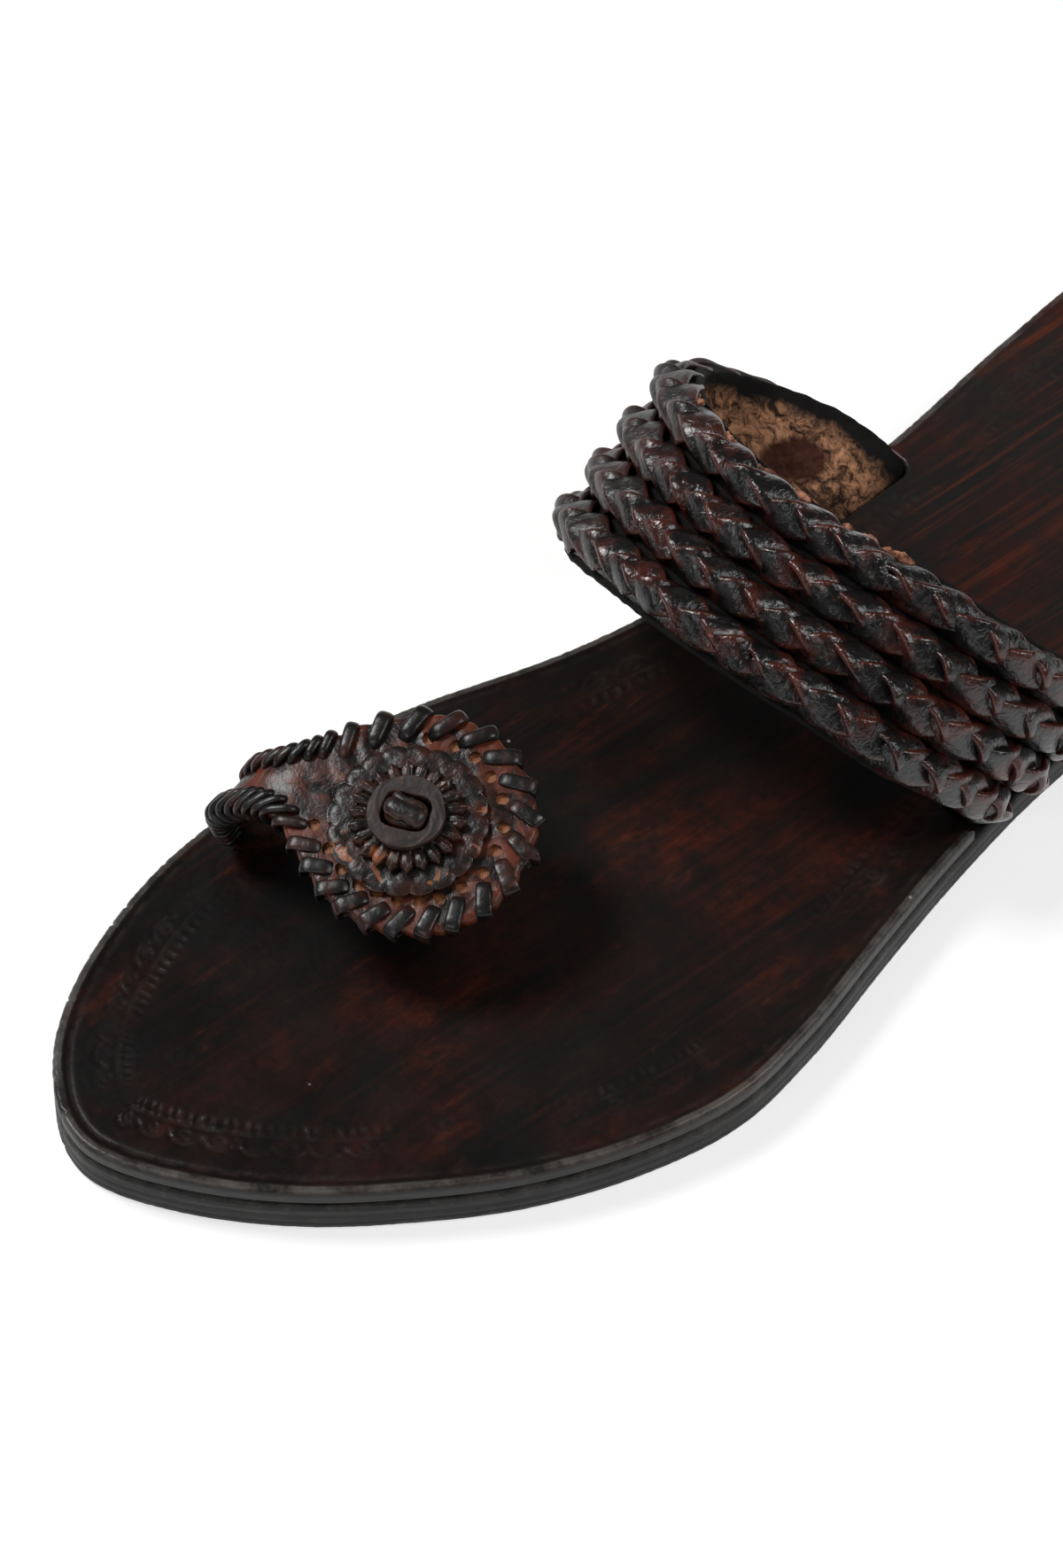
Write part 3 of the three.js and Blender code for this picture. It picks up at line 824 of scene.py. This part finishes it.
def plaitMaterial():
    material, tree, shader, vector = newMaterial("plaitLeather")
    along = attribute(tree, "runAlong")
    across = attribute(tree, "runAcross")
    strand = attribute(tree, "strand")
    links = {0: along, 1: times(tree, across, 1.8), 2: times(tree, strand, 7.3)}
    curl = addNode(tree, "CombineXYZ", links).outputs[0]
    wrinkle = noiseOf(tree, curl, 0.95, 4.0, 0.55, 1.4)
    fine = noiseOf(tree, vector, 900.0, 3.0, 0.6)
    patch = noiseOf(tree, vector, 170.0, 5.0, 0.62, 0.4)
    above = attribute(tree, "onTop")
    flank = ranged(tree, above, 0.95, 0.35, -0.06, 0.09)
    warm = ranged(tree, plus(tree, patch, flank), 0.45, 0.62)
    rubAndShade = useGroup(tree, "rubAndShade", {"Vector": vector, "Low": 0.54, "High": 0.63})
    colour = mixed(tree, warm, (0.005, 0.004, 0.0038, 1), (0.058, 0.0105, 0.0055, 1))
    colour = tinted(tree, colour, (0.15, 0.04, 0.019, 1), rubAndShade["Raised"], 0.75)
    raw = noiseOf(tree, vector, 210.0, 3.0, 0.5)
    torn = times(tree, ranged(tree, raw, 0.66, 0.7), ranged(tree, rubAndShade["Raised"], 0.2, 0.7))
    colour = mixed(tree, torn, colour, (0.5, 0.22, 0.12, 1))
    place = addNode(tree, "SeparateXYZ", {0: vector})
    # Towards the medial side the strands are made rougher, and their colour is greyed as a painted reflection
    # of the pale floor
    medialDullSheen = ranged(tree, place.outputs[0], -0.018, -0.038)
    colour = tinted(tree, colour, (0.022, 0.017, 0.015, 1), medialDullSheen, 0.5)
    # painted shade: the creases between the strands darkened nearly to black
    colour = tinted(tree, colour, (0.003, 0.0025, 0.0025, 1), rubAndShade["HollowShade"], 0.9)
    colour = dusted(tree, vector, colour, 0.06)
    rough = plus(tree, ranged(tree, wrinkle, 0.3, 0.7, 0.16, 0.27), times(tree, medialDullSheen, 0.2))
    finishShader(tree, shader, colour, rough, [(wrinkle, 0.7, 0.00034), (fine, 0.3, 0.0001)], 0.68)
    return material


liningLook = {
    "dark": (0.03, 0.011, 0.006, 1), "tan": (0.66, 0.33, 0.18, 1), "stain": (0.04, 0.0085, 0.005, 1),
    "stainRun": 16.0,  # mm along the band from its medial end
    "stainAcross": 0.66, "stainLong": 4.8, "stainWide": 0.13,
}


def liningMaterial():
    material, tree, shader, vector = newMaterial("liningSuede")
    inner = attribute(tree, "innerFace")
    across = attribute(tree, "runAcross")
    along = attribute(tree, "runAlong")
    nap = noiseOf(tree, vector, 420.0, 6.0, 0.78, 1.2)
    tuft = noiseOf(tree, vector, 210.0, 4.0, 0.6, 1.0)
    tan = mixed(tree, ranged(tree, nap, 0.4, 0.62), liningLook["dark"], liningLook["tan"])
    ragged = plus(tree, across, times(tree, maths(tree, "SUBTRACT", tuft, 0.5), 0.16))
    front = ranged(tree, ragged, 0.1, 0.05)
    edgeDark = maths(tree, "ADD", front, ranged(tree, ragged, 0.84, 0.93), clamp=True)
    dark = ranged(tree, noiseOf(tree, vector, 95.0, 6.0, 0.75, 1.0), 0.51, 0.57)
    black = (0.008, 0.007, 0.0065, 1)
    colour = mixed(tree, maths(tree, "MAXIMUM", edgeDark, times(tree, dark, 0.75)), tan, black)
    fromRun = maths(tree, "SUBTRACT", along, liningLook["stainRun"])
    fromAcross = maths(tree, "SUBTRACT", across, liningLook["stainAcross"])
    dx = maths(tree, "DIVIDE", fromRun, liningLook["stainLong"])
    dy = maths(tree, "DIVIDE", fromAcross, liningLook["stainWide"])
    round2 = plus(tree, times(tree, dx, dx), times(tree, dy, dy))
    stain = ranged(tree, plus(tree, round2, times(tree, tuft, 0.8)), 1.7, 1.15)
    colour = tinted(tree, colour, liningLook["stain"], stain, 0.92)
    colour = mixed(tree, inner, black, colour)
    rough = ranged(tree, nap, 0.2, 0.8, 0.75, 0.95)
    finishShader(tree, shader, colour, rough, [(tuft, 0.5, 0.001), (nap, 0.9, 0.0006)], 0.2)
    return material


def rawMaterial():
    material, tree, shader, vector = newMaterial("rawLeather")
    patch = noiseOf(tree, vector, 600.0, 5.0, 0.7)
    colour = mixed(tree, ranged(tree, patch, 0.42, 0.6), (0.1, 0.035, 0.018, 1), (0.55, 0.25, 0.15, 1))
    rough = ranged(tree, patch, 0.3, 0.7, 0.7, 0.9)
    finishShader(tree, shader, colour, rough, [(patch, 0.8, 0.0005)], 0.2)
    return material


flecks = buildFlecks()
flecks.data.materials.append(rawMaterial())
lining = buildLining()
lining.data.materials.append(liningMaterial())
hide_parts("instep_strap")
plaitLeather = plaitMaterial()
for plait in range(strapLook["plaits"]):
    piece = buildPlait(plait)
    piece.data.materials.append(plaitLeather)
print("strap made")

# Toe loop
heading = math.radians(loopFrame["heading"])
lean = math.radians(loopFrame["lean"])
loopAlong = np.array([math.cos(heading), math.sin(heading), 0])
loopSide = np.array([-math.sin(heading) * math.cos(lean), math.cos(heading) * math.cos(lean), math.sin(lean)])
loopUp = np.cross(loopAlong, loopSide)
loopBase = np.array(loopFrame["base"], float)


def fromLoop(p):
    p = np.atleast_2d(np.asarray(p, float))
    return loopBase + p[:, :1] * loopAlong + p[:, 1:2] * loopSide + p[:, 2:3] * loopUp


loopRows = np.array(loopSections, float)
turnRad = np.radians(loopRows[:, 4])
rowWidth = np.column_stack([np.sin(turnRad), np.cos(turnRad), np.zeros(len(turnRad))]) * loopRows[:, 3:4]
loopFront = splineThrough(loopRows[:, :3] - rowWidth, 40)
loopRear = splineThrough(loopRows[:, :3] + rowWidth, 40)
loopMiddle = (loopFront + loopRear) / 2
loopWide = (loopRear - loopFront) / 2
loopHalf = np.linalg.norm(loopWide, axis=1)
loopRun = runLength(loopMiddle)
loopTangent = unit(unit(np.gradient(loopFront, axis=0)) + unit(np.gradient(loopRear, axis=0)))
loopOut = unit(np.cross(loopTangent, loopWide))
discAlong = 20  # a place on the flat disc, past the neck's turn
runAtDisc = float(np.interp(discAlong, loopMiddle[200:, 0], loopRun[200:]))


# A point of the band from the run along it, mm across it and mm out of it
def onLoop(run, across, out):
    middle = sampleAt(loopMiddle, loopRun, run)
    wide = unit(sampleAt(loopWide, loopRun, run))
    rise = unit(sampleAt(loopOut, loopRun, run))
    return fromLoop(middle + wide * np.asarray(across)[:, None] + rise * np.asarray(out)[:, None])


# Tables run along the rim: on the neck's rear side, round the disc and back up the neck
lacing = {
    "floor": 0.5,  # level of the holes' floors from the middle of the leather
    "start": 15.5,  # run along the band where the stitches begin on the rear rim
    "end": 12.0,  # and where they end on the front rim
    "holesFrom": 36,  # stitches past this and before the next have a hole that shows
    "holesTo": 118,
    "holeHalf": 0.9,
    "gaps": [
        (0, 1.75), (18, 1.9), (22, 4.6), (26, 5.5), (72, 5.6), (82, 4.8), (114, 3.8), (119, 1.35), (140, 1.3),
    ],
    "deep": [(0, 2.1), (19, 2.4), (25, 4.3), (114, 4.0), (119, 3.5), (140, 3.2)],  # rim to hole
    "lag": [(0, 2.4), (22, 3.0), (27, 4.1), (60, 3.7), (90, 3.2), (114, 3.0), (120, 2.4), (140, 2.2)],
    "proud": [  # half thickness
        (0, 0.55), (24, 0.6), (44, 0.55), (54, 0.28), (114, 0.3), (119, 0.6), (140, 0.6),
    ],
    "width": [  # half width
        (0, 0.72), (20, 0.72), (27, 1.12), (60, 1.2), (114, 1.1), (119, 0.64), (140, 0.64),
    ],
    "shift": [(0, 0.4), (40, 0.5), (60, 1.3), (108, 1.2), (140, 0.4)],  # stitch's end to hole's centre
}


def loopRim(step):
    # the rim worked flat, from the rear side of the neck round the disc to the front side
    run = np.linspace(lacing["start"], loopRun[-1], 400)
    half = np.interp(run, loopRun, loopHalf)
    front = run > lacing["end"]
    edge = np.vstack([np.column_stack([run, half]), np.column_stack([run, -half])[::-1][: front.sum()]])
    extra = np.linspace(lacing["start"], lacing["end"], 20)[1:]
    edge = np.vstack([edge, np.column_stack([extra, -np.interp(extra, loopRun, loopHalf)])])
    length = runLength(edge)
    at = np.arange(0, length[-1], step)
    return sampleAt(edge, length, at), at


rimLine, rimAt = loopRim(0.2)
rimAlong = unit(np.gradient(rimLine, axis=0))
rimInward = np.column_stack([rimAlong[:, 1], -rimAlong[:, 0]])


def alongTable(table, value):
    return float(np.interp(value, [row[0] for row in table], [row[1] for row in table]))


def planStitches():
    stitches = []
    q = 2.0
    while q < rimAt[-1] - 0.4:
        lag = alongTable(lacing["lag"], q)
        deep = alongTable(lacing["deep"], q) * (1 + 0.05 * rng.uniform(-1, 1))
        k = int(np.searchsorted(rimAt, q))
        h = int(np.searchsorted(rimAt, max(q - lag, 0)))
        k, h = min(k, len(rimAt) - 1), min(h, len(rimAt) - 1)
        hole = rimLine[h] + rimInward[h] * deep
        stitches.append({"q": q, "rim": rimLine[k], "inward": rimInward[k], "hole": hole, "deep": deep})
        q += alongTable(lacing["gaps"], q) * (1 + 0.06 * rng.uniform(-1, 1))
    return stitches


stitches = planStitches()


def holeOutline(a, b, angle, half, seed):
    # a squarish punched hole with its corners torn a little
    steps = 12
    t = np.arange(steps) / steps * 2 * math.pi
    square = np.maximum(np.abs(np.cos(t)), np.abs(np.sin(t)))
    r = half * (0.55 + 0.45 / square) * (1 + 0.14 * np.random.default_rng(seed).uniform(-1, 1, steps))
    return np.column_stack([a + r * np.cos(t + angle + 0.4), b + r * np.sin(t + angle + 0.4)])


def buildLoop():
    # worked flat: x is the run along the band, y is across it
    last = loopRun[-1]
    run = np.linspace(loopFrame["start"], last, 150)
    half = np.interp(run, loopRun, loopHalf)
    edge = np.vstack([np.column_stack([run, -half]), np.column_stack([run, half])[::-1]])
    length = runLength(np.vstack([edge, edge[:1]]))
    at = np.arange(0, length[-1], 0.4)
    loop = sampleAt(np.vstack([edge, edge[:1]]), length, at)
    inward = inwardNormals(loop)
    pull = 0.22 * np.sin(at * 2 * math.pi / 4.3) + 0.12 * smoothNoise(at, 70, 1.5)
    loop = loop + inward * (0.35 + pull)[:, None]
    thick = loopFrame["thick"] / 2
    profile = [
        (0.55, -thick), (0.18, -thick * 0.8), (0.0, -0.35),
        (0.0, 0.35), (0.2, thick * 0.78), (0.6, thick),
    ]
    n = len(loop)
    rings = [np.column_stack([loop + inward * inset, np.full(n, z)]) for inset, z in profile]
    holes = []
    for k, stitch in enumerate(stitches):
        if stitch["q"] < lacing["holesFrom"] or stitch["q"] > lacing["holesTo"]:
            continue
        lead = stitch["hole"] - stitch["rim"]
        angle = math.atan2(lead[1], lead[0])
        x, y = stitch["hole"] + unit(lead) * alongTable(lacing["shift"], stitch["q"])
        holes.append(holeOutline(x, y, angle, lacing["holeHalf"], 300 + k))
    boreX = runAtDisc + rosetteAt[0] - discAlong
    boreY = rosetteAt[1] - float(np.interp(boreX, loopRun, loopMiddle[:, 1]))
    holes.append(holeOutline(boreX, boreY, 0, loopFrame["boreHalf"], 299))
    topLoop = rings[-1][:, :2]
    fill = []
    for x in np.arange(loopFrame["start"], last, 0.8):
        widest = float(np.interp(x, loopRun, loopHalf)) - 1.6
        ys = np.arange(-widest, widest, 0.8) + rng.uniform(-0.1, 0.1)
        fill.append(np.column_stack([np.full(len(ys), x), ys]))
    fill = np.vstack(fill) + rng.uniform(-0.08, 0.08, (sum(len(f) for f in fill), 2))
    clear = np.ones(len(fill), bool)
    for hole in holes:
        centre = hole.mean(axis=0)
        clear &= np.hypot(*(fill - centre).T) > np.hypot(*(hole - centre).T).max() + 0.3
    fill = fill[clear & insidePolygon(fill, topLoop)]
    fill = fill[depthInside(fill, topLoop) > 0.45]
    points2 = np.vstack([topLoop] + holes + [fill])
    edges = [(k, (k + 1) % n) for k in range(n)]
    base = n
    for hole in holes:
        edges += [(base + k, base + (k + 1) % len(hole)) for k in range(len(hole))]
        base += len(hole)
    faces2, centres = flatNet(points2, edges)
    inHole = ~insidePolygon(centres, topLoop)
    for hole in holes:
        inHole |= insidePolygon(centres, hole)
    faces2 = [f for f, bad in zip(faces2, inHole) if not bad]
    # top and bottom share the same flat net
    m = len(points2)
    lump = 0.12 * smoothNoise(points2[:, 0] * 1.3 + points2[:, 1] * 0.9, 81, 2.3)
    lump += 0.1 * smoothNoise(points2[:, 1] * 1.9 - points2[:, 0] * 0.4, 82, 2.0)
    depth = depthInside(points2, topLoop)
    crown = 0.12 * np.clip(depth / 5, 0, 1)
    top = np.column_stack([points2, thick + (lump + crown) * np.clip(depth / 1.5, 0, 1)])
    bottomRing = rings[0]
    bottom = np.column_stack([points2, np.full(m, -thick)])
    bottom[:n] = bottomRing
    top[:n] = rings[-1]
    middle = np.vstack(rings[1:-1])
    flat = np.vstack([top, bottom, middle])
    faces = [list(f) for f in faces2] + [[i + m for i in reversed(f)] for f in faces2]
    ringStart = [m] + [2 * m + k * n for k in range(len(rings) - 2)] + [0]
    for low, high in zip(ringStart[:-1], ringStart[1:]):
        for k in range(n):
            j = (k + 1) % n
            faces.append([low + k, low + j, high + j, high + k])
    # each hole is closed half way down from both faces
    base = n
    added = len(flat)
    isHole = [np.zeros(len(flat))]
    floors = []
    for hole in holes:
        c = len(hole)
        for side, level in ((0, lacing["floor"]), (m, -lacing["floor"])):
            floors.append(np.column_stack([np.vstack([hole, hole.mean(axis=0)]), np.full(c + 1, level)]))
            for k in range(c):
                j = (k + 1) % c
                wall = [base + side + k, base + side + j, added + j, added + k]
                cap = [added + k, added + j, added + c]
                faces.append(wall[::-1] if side == 0 else wall)
                faces.append(cap if side == 0 else cap[::-1])
            isHole.append(np.ones(c + 1))
            added += c + 1
        base += c
    flat = np.vstack([flat] + floors)
    isHole = np.concatenate(isHole)
    points = onLoop(flat[:, 0], flat[:, 1], flat[:, 2])
    rim = np.zeros(len(flat))
    rim[:m] = np.clip(1 - depth / 2.2, 0, 1)
    rim[m:2 * m] = rim[:m]
    rim[2 * m:] = 1
    rim[-sum(len(f) for f in floors):] = 0
    values = {"holeWall": isHole, "rim": rim, "runAlong": flat[:, 0]}
    return makePiece("toeLoopBand", points, faces, values, crease=50)


def buildLacing():
    parts = []
    thick = loopFrame["thick"] / 2
    for stitch in stitches:
        t = alongTable(lacing["proud"], stitch["q"])
        hole, rim, inward = stitch["hole"], stitch["rim"], stitch["inward"]
        span = rim - hole
        out = -inward
        line = [
            (*(hole + span * 0.02), -thick * 0.2),
            (*(hole + span * 0.04), thick * 0.75),
            (*(hole + span * 0.2), thick + t * 0.75),
            (*(hole + span * 0.55), thick + t * 1.0),
            (*(hole + span * 0.86), thick + t * 0.7),
            (*(rim + out * 0.02), thick * 0.8),
            (*(rim + out * 0.16), 0.0),
            (*(rim - out * 0.05), -thick * 0.9),
            (*(rim + inward * 0.9), -thick - t * 0.8),
            (*(hole + span * 0.3), -thick - t * 0.7),
            (*(hole + span * 0.05), -thick - t * 0.2),
        ]
        path = splineThrough(line, 5)
        middle = np.array([*(hole + span * 0.62), 0.0])
        ups = unit(path - middle)
        wide = alongTable(lacing["width"], stitch["q"]) * (1 + 0.08 * rng.uniform(-1, 1))
        wide = wide * np.interp(np.arange(len(path)), [0, 8, 20, len(path) - 1], [0.7, 0.92, 1.05, 0.95])
        world = onLoop(path[:, 0], path[:, 1], path[:, 2])
        lifted = path + ups
        upWorld = unit(onLoop(lifted[:, 0], lifted[:, 1], lifted[:, 2]) - world)
        parts.append(sweep(world, upWorld, wide, t, around=14, power=0.8))
    points, faces, values = joinParts(parts)
    return makePiece("rimLacing", points, faces, values)


def loopMaterial():
    material, tree, shader, vector = newMaterial("loopLeather")
    hole = attribute(tree, "holeWall")
    rim = attribute(tree, "rim")
    along = attribute(tree, "runAlong")
    patch = noiseOf(tree, vector, 190.0, 5.0, 0.62, 0.5)
    neck = ranged(tree, along, 26.0, 20.0)
    warm = ranged(tree, plus(tree, patch, times(tree, rim, 0.05)), 0.46, 0.62)
    warm = times(tree, warm, ranged(tree, neck, 0, 1, 1.0, 0.3))
    colour = mixed(tree, warm, (0.0075, 0.0052, 0.0047, 1), (0.125, 0.026, 0.011, 1))
    rubAndShade = useGroup(tree, "rubAndShade", {"Vector": vector, "Low": 0.51, "High": 0.58})
    colour = tinted(tree, colour, (0.2, 0.06, 0.028, 1), rubAndShade["Raised"], 0.3)
    # painted shade: the loop's hollows darkened towards black
    colour = tinted(tree, colour, (0.004, 0.003, 0.003, 1), rubAndShade["HollowShade"], 0.7)
    colour = mixed(tree, ranged(tree, hole, 0.3, 0.9), colour, (0.3, 0.115, 0.048, 1))
    colour = dusted(tree, vector, colour, 0.05)
    fine = noiseOf(tree, vector, 800.0, 4.0, 0.6)
    rough = ranged(tree, patch, 0.3, 0.7, 0.26, 0.42)
    finishShader(tree, shader, colour, rough, [(patch, 0.4, 0.0009), (fine, 0.3, 0.00015)], 0.38)
    return material


def laceMaterial():
    look = {
        "dark": (0.0075, 0.0065, 0.006, 1), "warm": (0.05, 0.014, 0.008, 1), "rubbed": (0.12, 0.05, 0.03, 1),
        "patchScale": 240.0, "patchLow": 0.5, "patchHigh": 0.7, "rubLow": 0.56, "rubHigh": 0.66,
        "rubAmount": 0.5, "dust": 0.04, "grainScale": 1100.0, "grainDepth": 0.25, "lumpDepth": 0.35,
        "roughLow": 0.26, "roughHigh": 0.42, "specular": 0.42,
    }
    return burnished("laceLeather", look)


loopBand = buildLoop()
loopBand.data.materials.append(loopMaterial())
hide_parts("toe_loop")
laceLeather = laceMaterial()
lacePiece = buildLacing()
lacePiece.data.materials.append(laceLeather)
print("toe loop made")

# Rosette
discLook = {
    "scallop": {"radius": 11.7, "wave": 0.6, "lobes": 20, "low": 0.3, "high": 1.5, "dome": 0.1, "from": 0.84},
    "pinked": {"radius": 8.7, "wave": 1.15, "lobes": 22, "low": 1.8, "high": 3.0, "dome": 0.36, "from": 0.45},
    "washer": {"radius": 5.7, "wave": 0.0, "lobes": 6, "low": 3.4, "high": 4.5, "dome": 0.0, "from": 0.9},
    "bore": (3.5, 2.75),  # half length, half width
    "thong": (3.15, 2.35, 4.6),  # half length, half width, top above the loop
}


def boreRadius(angle):
    a, b = discLook["bore"]
    c, s = np.abs(np.cos(angle)), np.abs(np.sin(angle))
    power = 4.0
    return 1 / ((c / a) ** power + (s / b) ** power) ** (1 / power)


def buildDisc(name, key):
    look = discLook[key]
    count = max(look["lobes"] * 16, 240)
    angle = np.arange(count) / count * 2 * math.pi
    phase = (look["lobes"] * angle / 2 / math.pi) % 1 - 0.5
    if key == "scallop":
        tooth = np.sqrt(np.clip(1 - (phase * 2) ** 2, 0, 1)) - 1
        tooth = np.maximum(tooth, -0.85)
    else:
        tooth = -np.abs(phase) * 2
    wobble = 0.18 * smoothNoise(angle * 30 / math.pi, 170 + look["lobes"], 4.0) * (1 if look["wave"] else 0.5)
    outer = look["radius"] + look["wave"] * tooth + wobble
    inner = boreRadius(angle)
    low, high = look["low"], look["high"]
    groove = np.exp(-((np.abs(phase) - 0.5) / 0.11) ** 2)
    middle = np.exp(-(phase / 0.12) ** 2)
    section = [(0.0, low), (0.5, low), (0.985, low), (1.0, low + 0.25)]
    section += [(1.0, high - 0.35), (0.985, high - 0.1)]
    section += [(f, high) for f in np.linspace(0.96, 0.08, 16)]
    section += [(0.03, high - 0.08), (0.0, high - 0.3)]
    rows = []
    edges = []
    for f, z in section:
        r = inner + (outer - inner) * f
        height = np.full(count, z)
        if z > high - 0.2 and look["wave"]:
            outerPart = np.clip((f - look["from"]) / 0.2, 0, 1)
            height = height + look["dome"] * outerPart * (middle * 0.4 - groove)
            height += 0.08 * smoothNoise(angle * 30 / math.pi + 7 * f, 190 + look["lobes"], 2.6)
            height += 0.04 * smoothNoise(angle * 70 / math.pi - 13 * f, 191 + look["lobes"], 1.9)
            height += -0.25 * np.clip((f - 0.85) / 0.15, 0, 1)
        elif z > high - 0.2:
            height = height + 0.05 * smoothNoise(angle * 20 / math.pi + 9 * f, 195, 2.0) - 0.12 * abs(f - 0.5)
        rows.append(np.column_stack([r * np.cos(angle), r * np.sin(angle), height]))
        edges.append(np.full(count, f))
    points = np.vstack(rows)
    faces = gridQuads(len(section), count, wrapRows=True, wrapCols=True)
    world = fromLoop(points + np.array([rosetteAt]))
    values = {"rim": np.concatenate(edges)}
    return makePiece(name, world, faces, values, crease=55)


def buildThong():
    a, b, top = discLook["thong"]
    heights = np.linspace(-13.5, top, 46)
    path = np.column_stack([np.full(46, rosetteAt[0]), np.full(46, rosetteAt[1]), rosetteAt[2] + heights])
    world = fromLoop(path)
    ups = np.tile(loopSide, (46, 1))
    taper = np.clip((top + 0.3 - heights) / 0.8, 0.3, 1) ** 0.5
    parts = [sweep(world, ups, a * taper, b * taper, around=40, power=0.75)]
    # the thong's rolled end lies across the hole, with its edge folded over beside it
    t = np.linspace(-1, 1, 30)
    rolls = [(-0.35, 1.55, 1.05, 3.1, 0.25), (1.35, 0.75, 0.6, 2.5, 0.1)]
    for k, (offset, half, thick, reach, lift) in enumerate(rolls):
        fade = np.sqrt(np.clip(1.04 - t**2 * np.abs(t) ** 4, 0.02, 1))
        line = np.column_stack([reach * t, offset - 0.7 * t + 0.12 * np.sin(5 * t), top + lift - 0.5 * t**4])
        lineWorld = fromLoop(line + np.array([rosetteAt]))
        crumple = 1 + 0.07 * smoothNoise(t * 12, 230 + k, 2.0)
        tops = np.tile(loopUp, (30, 1))
        parts.append(sweep(lineWorld, tops, half * fade * crumple, thick * fade, around=24, power=0.9))
    points, faces, values = joinParts(parts)
    return makePiece("toeThongShown", points, faces, values)


rosetteLook = {
    "dark": (0.0065, 0.0046, 0.0041, 1), "warm": (0.044, 0.0108, 0.006, 1), "rubbed": (0.17, 0.062, 0.033, 1),
    "patchScale": 230.0, "patchLow": 0.47, "patchHigh": 0.66, "rubLow": 0.51, "rubHigh": 0.6,
    "rubAmount": 0.45, "dust": 0.08, "grainScale": 900.0, "grainDepth": 0.45, "lumpDepth": 0.55,
    "roughLow": 0.27, "roughHigh": 0.42, "specular": 0.45, "torn": 0.8,
}
washerLook = {
    **rosetteLook, "torn": 0, "dark": (0.017, 0.011, 0.0095, 1), "warm": (0.045, 0.021, 0.015, 1),
    "roughLow": 0.5, "roughHigh": 0.66,
}
thongLook = {
    **rosetteLook, "torn": 0, "dark": (0.0075, 0.0068, 0.0066, 1), "warm": (0.03, 0.014, 0.01, 1),
    "roughLow": 0.3, "roughHigh": 0.45,
}

rosetteLeather = burnished("rosetteLeather", rosetteLook)
for name, key, node in (
    ("scallopedDisc", "scallop", "rosette_scalloped_disc"),
    ("pinkedDisc", "pinked", "rosette_pinked_disc"),
):
    piece = buildDisc(name, key)
    piece.data.materials.append(rosetteLeather)
    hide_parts(node)
washer = buildDisc("rosetteWasher", "washer")
washer.data.materials.append(burnished("washerLeather", washerLook))
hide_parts("rosette_washer")
thong = buildThong()
thong.data.materials.append(burnished("thongLeather", thongLook))
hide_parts("toe_thong")
print("rosette made")

# Floor, lights and camera
stageLook = {
    "floor": (0.5, 0.5, 0.497, 1), "floorHalf": 2.5, "world": 0.09, "glow": 0.66,
    "camera": (404.153, -303.402, 722.5),  # mm, in the part's own frame
    "back": (0.4603, -0.4292, 0.7771),  # from the sandal towards the camera
    "right": (0.6820, 0.7314, 0),
    "lens": 142.78,
}


def buildFloor():
    mesh = bpy.data.meshes.new("paleFloor")
    half = stageLook["floorHalf"]
    corners = [(-half, -half, 0), (half, -half, 0), (half, half, 0), (-half, half, 0)]
    mesh.from_pydata(corners, [], [(0, 1, 2, 3)])
    floor = bpy.data.objects.new("paleFloor", mesh)
    bpy.context.scene.collection.objects.link(floor)
    material, _, shader, _ = newMaterial("floorPaint")
    shader.inputs["Base Color"].default_value = stageLook["floor"]
    shader.inputs["Roughness"].default_value = 0.9
    shader.inputs["Specular IOR Level"].default_value = 0.1
    shader.inputs["Emission Color"].default_value = (1, 1, 1, 1)
    shader.inputs["Emission Strength"].default_value = stageLook["glow"]
    mesh.materials.append(material)


def addPanel(name, place, size, energy):
    lamp = bpy.data.lights.new(name, "AREA")
    lamp.shape = "RECTANGLE"
    lamp.size, lamp.size_y = size
    lamp.energy = energy
    panel = bpy.data.objects.new(name, lamp)
    panel.location = place
    panel.rotation_mode = "QUATERNION"
    panel.rotation_quaternion = (-Vector(place)).to_track_quat("-Z", "Y")
    bpy.context.scene.collection.objects.link(panel)


buildFloor()
addPanel("overheadBox", (-0.72, -0.36, 1.08), (0.42, 0.42), 11.5)
addPanel("sideBox", (0.8, 0.55, 1.1), (0.5, 0.5), 6.5)
addPanel("frontBox", (0.2, -1.2, 0.9), (0.6, 0.4), 2.5)

world = bpy.data.worlds.new("studio")
world.use_nodes = True
world.node_tree.nodes["Background"].inputs[0].default_value = (1, 1, 1, 1)
world.node_tree.nodes["Background"].inputs[1].default_value = stageLook["world"]
bpy.context.scene.world = world
bpy.context.scene.view_settings.view_transform = "Standard"
bpy.context.scene.view_settings.look = "None"


def addCamera():
    back = Vector(stageLook["back"]).normalized()
    right = Vector(stageLook["right"]).normalized()
    up = back.cross(right)
    data = bpy.data.cameras.new("camera")
    data.lens = stageLook["lens"]
    data.sensor_width = 36
    data.clip_end = 20
    camera = bpy.data.objects.new("camera", data)
    turn = Matrix((right, up, back)).transposed().to_4x4()
    place = (np.array(stageLook["camera"]) + shift) / 1000
    camera.matrix_world = Matrix.Translation(place) @ turn
    bpy.context.scene.collection.objects.link(camera)
    bpy.context.scene.camera = camera


addCamera()
